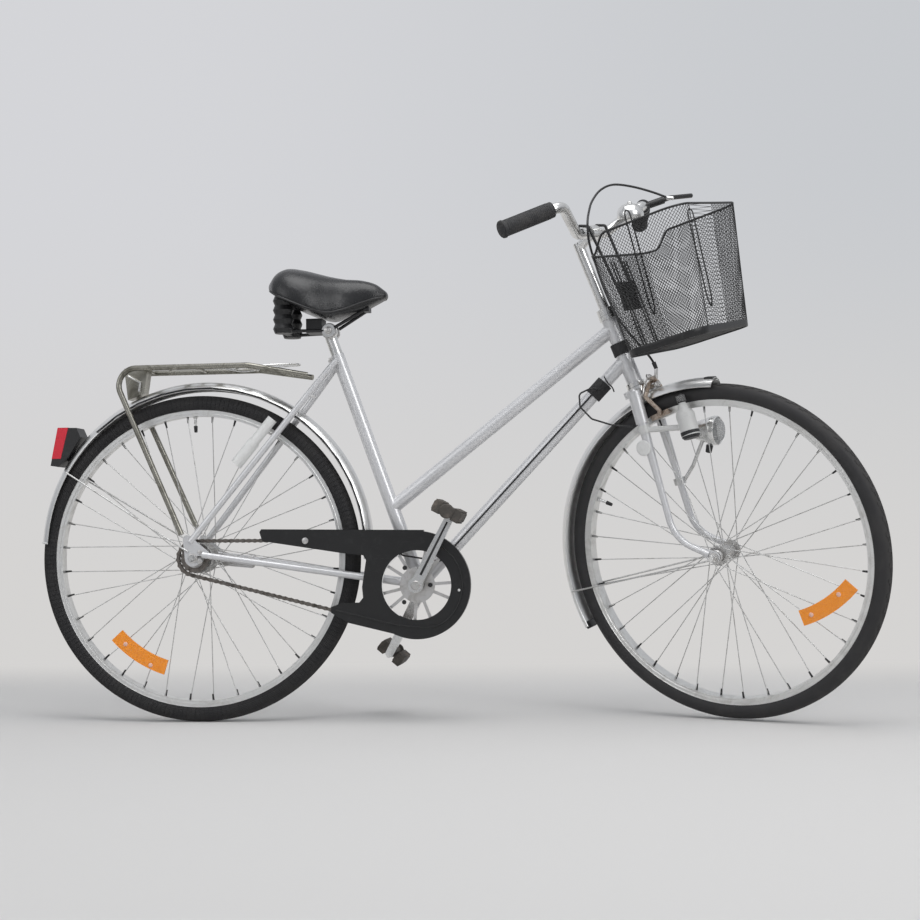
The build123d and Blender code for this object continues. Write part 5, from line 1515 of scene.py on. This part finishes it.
@dataclass
class Transmission(Assembly):
    """Chain, chainring, cranks, pedals and guard."""

    ring: float = 93.06
    sprocket: float = 36.57
    line: float = -45.0
    crank_angle: float = 27.6
    crank_length: float = 170.0

    def path(self) -> tuple[list[Vector], float]:
        """Places of the chain's pins in X and Z, and their pitch."""
        centre = Vector((LAYOUT.bracket[0], LAYOUT.bracket[1]))
        heading = math.atan2(centre.y, centre.x)
        spread = math.acos((self.sprocket - self.ring) / centre.length)
        points = []
        for middle, radius, start, sweep in (
            (centre, self.ring, heading - spread, 2 * spread),
            (Vector((0, 0)), self.sprocket, heading + spread, 2 * math.pi - 2 * spread),
        ):
            for index in range(121):
                angle = start + sweep * index / 120
                points.append(middle + Vector((math.cos(angle), math.sin(angle))) * radius)
        points.append(points[0])
        lengths = [(b - a).length for a, b in zip(points, points[1:])]
        count = 2 * round(sum(lengths) / 25.4)
        pitch = sum(lengths) / count
        pins, walked, index = [], 0.0, 0
        for number in range(count):
            while walked + lengths[index] < number * pitch:
                walked += lengths[index]
                index += 1
            share = (number * pitch - walked) / lengths[index]
            pins.append(points[index].lerp(points[index + 1], share))
        return pins, pitch

    def plate(self, pitch: float, y: float, thickness: float) -> bpy.types.Object:
        """Waisted side plate of one link, lying along X."""
        outline = []
        for index in range(14):
            angle = math.radians(-90 + 180 * index / 13)
            for side in (1,):
                outline.append((pitch / 2 + 4.2 * math.cos(angle), 4.2 * math.sin(angle)))
        outline.append((0.0, 2.9))
        outline += [(-x, -z) for x, z in outline[:-1]]
        outline.append((0.0, -2.9))
        sections = []
        for place in (y - thickness / 2, y + thickness / 2):
            sections.append([Vector((x, place, z)) / 1000 for x, z in outline])
        return self.shop.skin(sections)

    def chain(self) -> None:
        """Links of outer and inner plates with rollers between them."""
        pins, pitch = self.path()
        groups = {0: [], 1: []}
        for index, pin in enumerate(pins):
            other = pins[(index + 1) % len(pins)]
            way = other - pin
            middle = (pin + other) / 2
            place = Matrix.Translation(self.at(middle.x, self.line, middle.y)) @ Matrix.Rotation(
                -math.atan2(way.y, way.x), 4, "Y")
            groups[index % 2].append(place)
        parts = []
        for kind, spread, thickness in ((0, 3.3, 0.9), (1, 2.2, 0.9)):
            pieces = [self.plate(pitch, side * spread, thickness) for side in (-1, 1)]
            if kind:
                for end in (-1, 1):
                    x = end * pitch / 2000
                    pieces.append(self.shop.rod(Vector((x, -0.0018, 0)), Vector((x, 0.0018, 0)), 0.0038, sides=10, soft=0))
            else:
                for end in (-1, 1):
                    x = end * pitch / 2000
                    pieces.append(self.shop.rod(Vector((x, -0.0040, 0)), Vector((x, 0.0040, 0)), 0.0017, sides=8, soft=0))
            parts.append(self.shop.copied(self.shop.settle(self.shop.joined(pieces)), groups[kind]))
        self.add("chain_links", Finishes.chain, *parts, replaces=["chain"])

    def cranks(self) -> None:
        """Bright cranks with a black strip along each flute, painted shade in the groove, and a cap on the spindle."""
        angle = math.radians(90 - self.crank_angle)
        way = (math.cos(angle), 0.0, math.sin(angle))
        for side in (-1, 1):
            along = [component * -side for component in way]
            start = [LAYOUT.bracket[0] + along[0] * 24, side * 75.4, LAYOUT.bracket[1] + along[2] * 24]
            end = [LAYOUT.bracket[0] + along[0] * 146, side * 75.4, LAYOUT.bracket[1] + along[2] * 146]
            # Black rod along the crank: painted shade in the flute's groove.
            flute = self.rod(start, end, 2.6, 1.9, 12)
            self.add(f"crank_flute_painted_shade_{'left' if side > 0 else 'right'}", Finishes.plastic, flute, body=Body.CRANKS)
            seat = (LAYOUT.bracket[0], side * 74.5, LAYOUT.bracket[1])
            cap = self.lathe([(0.4, 0), (9.5, 0), (9.5, 1.4), (8.2, 2.6), (0.4, 3.0)], seat, (0, side, 0), 28)
            self.add(f"crank_cap_{'left' if side > 0 else 'right'}", Finishes.greasy, cap, body=Body.CRANKS)

    def pedals(self) -> None:
        """Ribs of the treads and the round end caps."""
        for side, tilt, body in ((-1, -28.0, Body.RIGHT_PEDAL), (1, -40.0, Body.LEFT_PEDAL)):
            angle = math.radians(90 - self.crank_angle if side < 0 else 270 - self.crank_angle)
            eye = (LAYOUT.bracket[0] + self.crank_length * math.cos(angle), LAYOUT.bracket[1] + self.crank_length * math.sin(angle))
            turn = math.radians(tilt)
            ahead = (math.cos(turn), 0.0, math.sin(turn))
            up = (-math.sin(turn), 0.0, math.cos(turn))
            ribs = []
            for way in (-1, 1):
                for face in (-1, 1):
                    for index in range(9):
                        y = side * (85.0 + 9.6 * index)
                        centre = (eye[0] + ahead[0] * way * 21 + up[0] * face * 12.0, y, eye[1] + ahead[2] * way * 21 + up[2] * face * 12.0)
                        ribs.append(self.block(centre, (17.0, 5.2, 2.4), 0.7, ahead, up))
            name = "left" if side > 0 else "right"
            self.add(f"pedal_ribs_{name}", Finishes.tread, *ribs, body=body)
            outline = [(0.4, 0), (15.0, 0), (15.0, 3.0), (12.5, 5.2), (0.4, 5.6)]
            cap = self.lathe(outline, (eye[0], side * 166.5, eye[1]), (0, side, 0), 32)
            self.add(f"pedal_cap_{name}", Finishes.tread, cap, body=body)

    def guard(self) -> None:
        """Screw, pressed ridge and the pale edge of the chain guard."""
        ridge = [(302, -56.4, -111), (365, -56.4, -126), (428, -56.4, -143), (491, -56.4, -149)]
        for angle in range(-60, 61, 20):
            turn = math.radians(angle)
            ridge.append((LAYOUT.bracket[0] + 97 * math.cos(turn), -56.4, LAYOUT.bracket[1] + 97 * math.sin(turn)))
        self.add("guard_ridge", Finishes.guard, self.wires([ridge], 1.6, 2))
        window = []
        for angle in range(120, 250, 10):
            turn = math.radians(angle)
            window.append((LAYOUT.bracket[0] + 72.6 * math.cos(turn), -56.0, LAYOUT.bracket[1] + 72.6 * math.sin(turn)))
        self.add("guard_line", Finishes.white, self.wires([window], 0.8, 1))
        self.add("guard_screw", Finishes.greasy, self.bolt((240, -55.6, 34), (0, -1, 0), 11, 3.5))
        self.add("guard_dot", Finishes.white, self.rod((563, -55.6, -72), (563, -57.0, -72), 3.0, 2.6, 16))

    def ring_holes(self) -> None:
        """Black discs in the chainring's lightening holes, painted shade where the holes look dark."""
        holes = []
        # Each disc is painted shade filling one lightening hole.
        for x, z in ((449, -25), (502, -61), (447, -96), (480, -27)):
            holes.append(self.rod((x, -50.4, z), (x, -48, z), 5.0, 4.6, 18))
        self.add("ring_hole_painted_shade", Finishes.plastic, *holes, body=Body.CRANKS)

    def build(self) -> None:
        """Makes and dresses the transmission."""
        self.dress(Finishes.chrome, "crank_right", "crank_left", "spindles")
        self.dress(Finishes.greasy, "chainring")
        self.dress(Finishes.chain, "sprocket")
        self.dress(Finishes.guard, "chain_guard")
        self.dress(Finishes.tread, "pedal_right", "pedal_left")
        self.chain()
        self.cranks()
        self.pedals()
        self.guard()
        self.ring_holes()


@dataclass
class Steering(Assembly):
    """Fork, bar and what is fixed to them."""

    steered: bool = True
    home: Body = Body.STEERING
    bar: tuple[float, float, float] = (850.0, 0.0, 668.0)
    crown_height: float = 327.0
    crown_half: float = 6.5
    crown_reach: float = 15.0

    def curve(self, points: Sequence[Point], steps: int = 6) -> list[Vector]:
        """Smooth run of places through given points.

        Args:
            points: the points.
            steps: places between two of them.

        Returns:
            The places.
        """
        places = [Vector(point) for point in points]
        padded = [places[0] * 2 - places[1], *places, places[-1] * 2 - places[-2]]
        run = []
        for a, b, c, d in zip(padded, padded[1:], padded[2:], padded[3:]):
            for index in range(steps):
                t = index / steps
                run.append(0.5 * (2 * b + (c - a) * t + (2 * a - 5 * b + 4 * c - d) * t ** 2 + (3 * b - a - 3 * c + d) * t ** 3))
        return [*run, places[-1]]

    def pivot(self) -> Vector:
        """Where the caliper's bolt leaves the crown."""
        return LAYOUT.on_head(self.crown_height) + LAYOUT.head_up * self.crown_half + LAYOUT.head_forward * self.crown_reach

    def cable(self) -> None:
        """Brake cable in one smooth run from the lever to the caliper."""
        bar, low = Vector(self.bar), self.pivot()
        hang, drop = bar + Vector((20, -48, -18)), low + Vector((-45, -10, 148))
        points = [bar + Vector(step) for step in (
            (96, 168, 67), (72, 150, 80), (41, 118, 94), (15, 84, 100), (0, 54, 90), (-4, 22, 68), (6, -14, 46), (19, -48, 20))]
        points += [hang, hang * 0.7 + drop * 0.3 + Vector((-8, 6, 0)), hang * 0.36 + drop * 0.64 + Vector((-10, 6, 0)), drop]
        points += [low + Vector(step) for step in ((-9, -2, 98), (15, 6, 64), (25, 8, 42))]
        self.add("brake_cable_run", Finishes.plastic, self.wires([self.curve(points)], 2.4, 3), replaces=["brake_cable"])

    def bell(self) -> None:
        """Domed bell with a knob and a skirt."""
        base = (self.bar[0] + 43, self.bar[1] + 100, self.bar[2] + 40)
        outline = [(20.0, -14.0), (27.0, -14.0), (28.6, -11.0), (28.8, -5.0), (27.6, 2.0), (24.0, 9.5), (17.5, 15.0),
                   (9.0, 18.0), (5.0, 18.6), (5.0, 21.0), (3.0, 23.0), (0.4, 23.4), (0.4, 12.0), (16.0, 8.0), (23.0, -2.0),
                   (25.0, -12.0)]
        self.add("bell_dome", Finishes.chrome, self.lathe(outline, base, (0, 0, 1), 56), replaces=["bell"], smooth=50.0)

    def grips(self) -> None:
        """Moulded rings round the grips and their end caps."""
        parts = []
        for side in (-1, 1):
            end = Vector((816.0, side * 297.0, 685.0))
            way = (Vector((886.0, side * 180.0, 724.0)) - end).normalized()
            for index in range(25):
                centre = end + way * (8 + 4.1 * index)
                outline = [(15.0, -1.2), (16.4, -0.9), (16.7, 0.0), (16.4, 0.9), (15.0, 1.2)]
                parts.append(self.lathe(outline, tuple(centre), tuple(way), 28))
            parts.append(self.lathe([(0.4, -5.6), (12.0, -5.0), (17.6, -2.4), (18.2, 1.4), (16.0, 3.6), (0.4, 3.6)], tuple(end), tuple(way), 32))
        self.add("grip_rings", Finishes.rubber, *parts)

    def lever(self) -> None:
        """Adjuster of the brake lever."""
        barrel = self.rod((944, 176, 733), (958, 181, 731), 4.6, 4.0, 16)
        self.add("lever_adjuster", Finishes.chrome, barrel)

    def caliper(self) -> None:
        """Nuts, spring and cable stop of the front caliper."""
        pivot = self.pivot()
        ahead = LAYOUT.head_forward
        parts = [self.bolt(tuple(pivot + ahead * 27), tuple(ahead), 15, 6, 4)]
        top = pivot + ahead * 17 + Vector((0, -24, 20))
        parts.append(self.bolt(tuple(top + ahead * 4), tuple(ahead), 11, 5, 3))
        parts.append(self.rod(tuple(pivot + Vector((25, 8, 44))), tuple(pivot + Vector((24, 6, 22))), 3.8, sides=14))
        spring = [pivot + ahead * 12 + Vector((0, side * reach, drop)) for side, reach, drop in (
            (-1, 34, -34), (-1, 30, -4), (-1, 14, 16), (1, 0, 21), (1, 14, 16), (1, 30, -4), (1, 34, -34))]
        parts.append(self.wires([self.curve(spring)], 1.6, 2))
        self.add("caliper_fittings", Finishes.greasy, *parts)
        boot = self.rod(tuple(pivot + Vector((20, 7, 56))), tuple(pivot + Vector((25, 8, 42))), 4.6, 4.0, 14)
        self.add("caliper_boot", Finishes.rubber, boot)

    def dynamo(self) -> None:
        """Roller, cap and dome of the dynamo."""
        low, top = Vector((1073, -46, 248)), Vector((1050, -35, 322))
        way = (top - low).normalized()
        outline = [(8.0, -1.0), (9.7, 0.0)]
        for index in range(10):
            outline += [(9.9, 1.0 + 1.4 * index), (9.4, 1.7 + 1.4 * index)]
        outline += [(9.0, 15.2), (3.5, 16.4), (3.5, 18.0), (0.4, 18.4), (0.4, -1.0)]
        roller = self.lathe(outline, tuple(top - way * 8), tuple(way), 36)
        cap = self.lathe([(0.4, -7.0), (15.0, -6.0), (18.6, -2.0), (19.6, 6.0), (19.4, 9.0), (0.4, 9.0)], tuple(low), tuple(way), 40)
        self.add("dynamo_ends", Finishes.plastic, roller, cap)
        dome = [(0.4, 34.0), (19.3, 34.0), (19.4, 44.0), (17.6, 50.0), (13.6, 54.5), (11.0, 57.0), (9.0, 66.0), (0.4, 66.0)]
        self.add("dynamo_dome", Finishes.silver, self.lathe(dome, tuple(low), tuple(way), 40), smooth=45.0)

    def headlamp(self) -> None:
        """Rim ring and clamp of the headlamp."""
        face = (1084.0, 58.0, 245.0)
        ring = self.lathe([(26.5, 0.0), (29.0, 3.0), (30.6, 1.0), (30.9, -6.0), (29.0, -6.0)], face, (1, 0, 0), 56)
        self.add("headlamp_ring", Finishes.chrome, ring)
        clamp = self.rod((face[0] - 18, face[1], face[2] - 30), (face[0] - 22, face[1], face[2] - 46), 7.5, 6.5, 20)
        self.add("headlamp_clamp", Finishes.plastic, clamp)

    def fittings(self) -> None:
        """Front axle nuts, stem bolt and the marker on the right blade."""
        parts = [self.bolt((LAYOUT.wheelbase, side * 56, 0), (0, side, 0), 16, 7, 6) for side in (-1, 1)]
        parts.append(self.bolt(tuple(LAYOUT.on_head(650.0) + LAYOUT.head_up * 24), tuple(LAYOUT.head_up), 13, 5))
        self.add("front_bolts", Finishes.greasy, *parts)
        marker = self.lathe([(0.4, 0), (16.0, 0), (16.5, 1.6), (14.0, 4.0), (0.4, 4.8)], (969, -52, 223), (0, -1, 0), 36)
        self.add("side_marker", Finishes.white, marker)

    def fender(self) -> None:
        """Rolled edges, black tip and rear plug of the front fender."""
        routes = []
        for side in (-1, 1):
            route = []
            for index in range(51):
                turn = math.radians(88 + 120.5 * index / 50)
                route.append((1100 + 347 * math.cos(turn), side * 24.1, -3 + 347 * math.sin(turn)))
            routes.append(route)
        self.add("front_fender_edges", Finishes.sheets[True], self.wires(routes, 1.3, 2))
        turn = math.radians(208.0)
        foot = (1100 + 352 * math.cos(turn), 0.0, -3 + 352 * math.sin(turn))
        plug = self.block(foot, (9, 34, 16), 2.5, (math.cos(turn), 0, math.sin(turn)), (math.sin(turn), 0, -math.cos(turn)))
        tip = self.block((1101, 0, 359), (20, 22, 6), 2.0)
        self.add("front_fender_plugs", Finishes.plastic, plug, tip)

    def build(self) -> None:
        """Makes and dresses the steering."""
        self.dress(Finishes.lacquer, "fork_crown", "fork_blades")
        self.dress(Finishes.chrome, "front_axle", "stem", "handlebar", "head_rings", "headlamp")
        self.dress(Finishes.rusty, "front_brake")
        self.dress(Finishes.sheets[True], "front_fender")
        self.dress(Finishes.spoke, "front_fender_stays", "headlamp_bracket")
        self.dress(Finishes.rubber, "grips")
        self.dress(Finishes.plastic, "brake_lever")
        self.dress(Finishes.silver, "dynamo")
        self.dress(Finishes.clear, "headlamp_lens")
        self.cable()
        self.bell()
        self.grips()
        self.lever()
        self.caliper()
        self.dynamo()
        self.headlamp()
        self.fittings()
        self.fender()


@dataclass
class Studio:
    """Pale floor and backdrop, soft light and the camera."""

    floor_height: float = -0.954
    place: Point = (0.71143, -3.31581, -0.55842)
    turn: Point = (92.6025, 0.78238, 6.90744)
    lens: float = 62.102
    # Wall tones, lighter at the left and darker at the right: painted light falloff across the backdrop.
    left: Colour = (0.66, 0.665, 0.69)
    right: Colour = (0.58, 0.595, 0.62)
    ground: Colour = (0.665, 0.655, 0.645)

    def camera(self) -> None:
        """Camera at the photograph's place and angle."""
        data = bpy.data.cameras.new("studio_camera")
        data.sensor_width = 36.0
        data.lens = self.lens
        data.clip_start, data.clip_end = 0.05, 60.0
        camera = bpy.data.objects.new("studio_camera", data)
        bpy.context.scene.collection.objects.link(camera)
        camera.location = self.place
        camera.rotation_euler = [math.radians(angle) for angle in self.turn]
        bpy.context.scene.camera = camera

    def backdrop(self) -> None:
        """Floor that curves up into a wall."""
        profile = [(-7.0, 0.0), (1.6, 0.0)]
        for index in range(1, 13):
            angle = math.pi / 2 * index / 12
            profile.append((1.6 + 1.4 * math.sin(angle), 1.4 - 1.4 * math.cos(angle)))
        profile.append((3.0, 7.0))
        Shop.clear_choice()
        bpy.ops.mesh.primitive_grid_add(x_subdivisions=1, y_subdivisions=len(profile) - 1, size=1.0)
        piece = bpy.context.object
        for index, (y, z) in enumerate(profile):
            for vertex, x in zip(piece.data.vertices[2 * index:2 * index + 2], (-9.0, 10.0)):
                vertex.co = (x, y, self.floor_height + z)
        Shop.settle(piece, 60.0)
        piece.name = "backdrop"
        piece.data.materials.append(self.backdrop_material())

    def backdrop_material(self) -> bpy.types.Material:
        """Pale paper, that shows its colour unlit above the floor and far behind; the wall's colour carries a painted
        light falloff from left to right.
        """
        graph = Graph(bpy.data.materials.new("studio_paper"))
        x, y, height = graph.split(graph.place())
        # Painted light falloff: the wall runs from the lighter left tone to the darker right tone.
        wall = graph.blend(graph.step(x, -1.6, 1.9), self.left, self.right)
        rise = graph.step(height, self.floor_height, self.floor_height + 1.9)
        colour = graph.blend(rise, self.ground, wall)
        shaded = graph.node("ShaderNodeBsdfDiffuse", None, {"Color": colour})
        plain = graph.node("ShaderNodeEmission", None, {"Color": colour})
        above = graph.step(height, self.floor_height + 0.004, self.floor_height + 0.25)
        behind = graph.step(y, 0.5, 1.5)
        share = graph.seen_rays() * above.math("MAXIMUM", behind)
        graph.end(graph.node("ShaderNodeMixShader", None, [share, shaded, plain]))
        return graph.owner

    def light(self) -> None:
        """Soft overhead and side lamps in a pale world."""
        world = bpy.data.worlds.new("studio_world")
        bpy.context.scene.world = world
        graph = Graph(world)
        height = graph.split(graph.place())[2]
        shown = graph.blend(graph.step(height, -0.3, 0.9), (0.30, 0.31, 0.33), (0.66, 0.67, 0.70))
        colour = graph.blend(graph.seen_rays(), (0.465, 0.48, 0.50), shown)
        graph.end(graph.node("ShaderNodeBackground", None, {"Color": colour, "Strength": 1.0}), "ShaderNodeOutputWorld")
        for name, place, aim, size, power in (
            ("overhead", (0.6, -0.9, 2.6), (0.4, 0.2, -0.6), 2.6, 62.0),
            ("side", (3.2, -2.6, 1.2), (0.5, 0.0, -0.5), 1.6, 34.0),
            ("fill", (-2.6, -2.8, 0.9), (0.2, 0.0, -0.5), 2.0, 18.0),
        ):
            data = bpy.data.lights.new(name, "AREA")
            data.size = size
            data.energy = power
            lamp = bpy.data.objects.new(name, data)
            bpy.context.scene.collection.objects.link(lamp)
            lamp.location = place
            lamp.rotation_euler = (Vector(place) - Vector(aim)).to_track_quat("Z", "Y").to_euler()

    def build(self) -> None:
        """Makes the studio."""
        self.camera()
        self.backdrop()
        self.light()
        bpy.context.scene.view_settings.view_transform = "Standard"


def main() -> None:
    """Builds the bicycle's looks."""
    logging.basicConfig(level=logging.INFO, format="%(name)s %(message)s")
    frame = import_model()
    Studio().build()
    Wheel(frame).build()
    Wheel(frame, front=True, valve_angle=159.5, reflector_face=-23.15, hub_end=50.0,
          fixings=((1358.0, -70.0), (1300.0, -114.0))).build()
    for kind in (Frame, Transmission, Steering, Saddle, Basket):
        kind(frame).build()


if __name__ == "__main__":
    main()
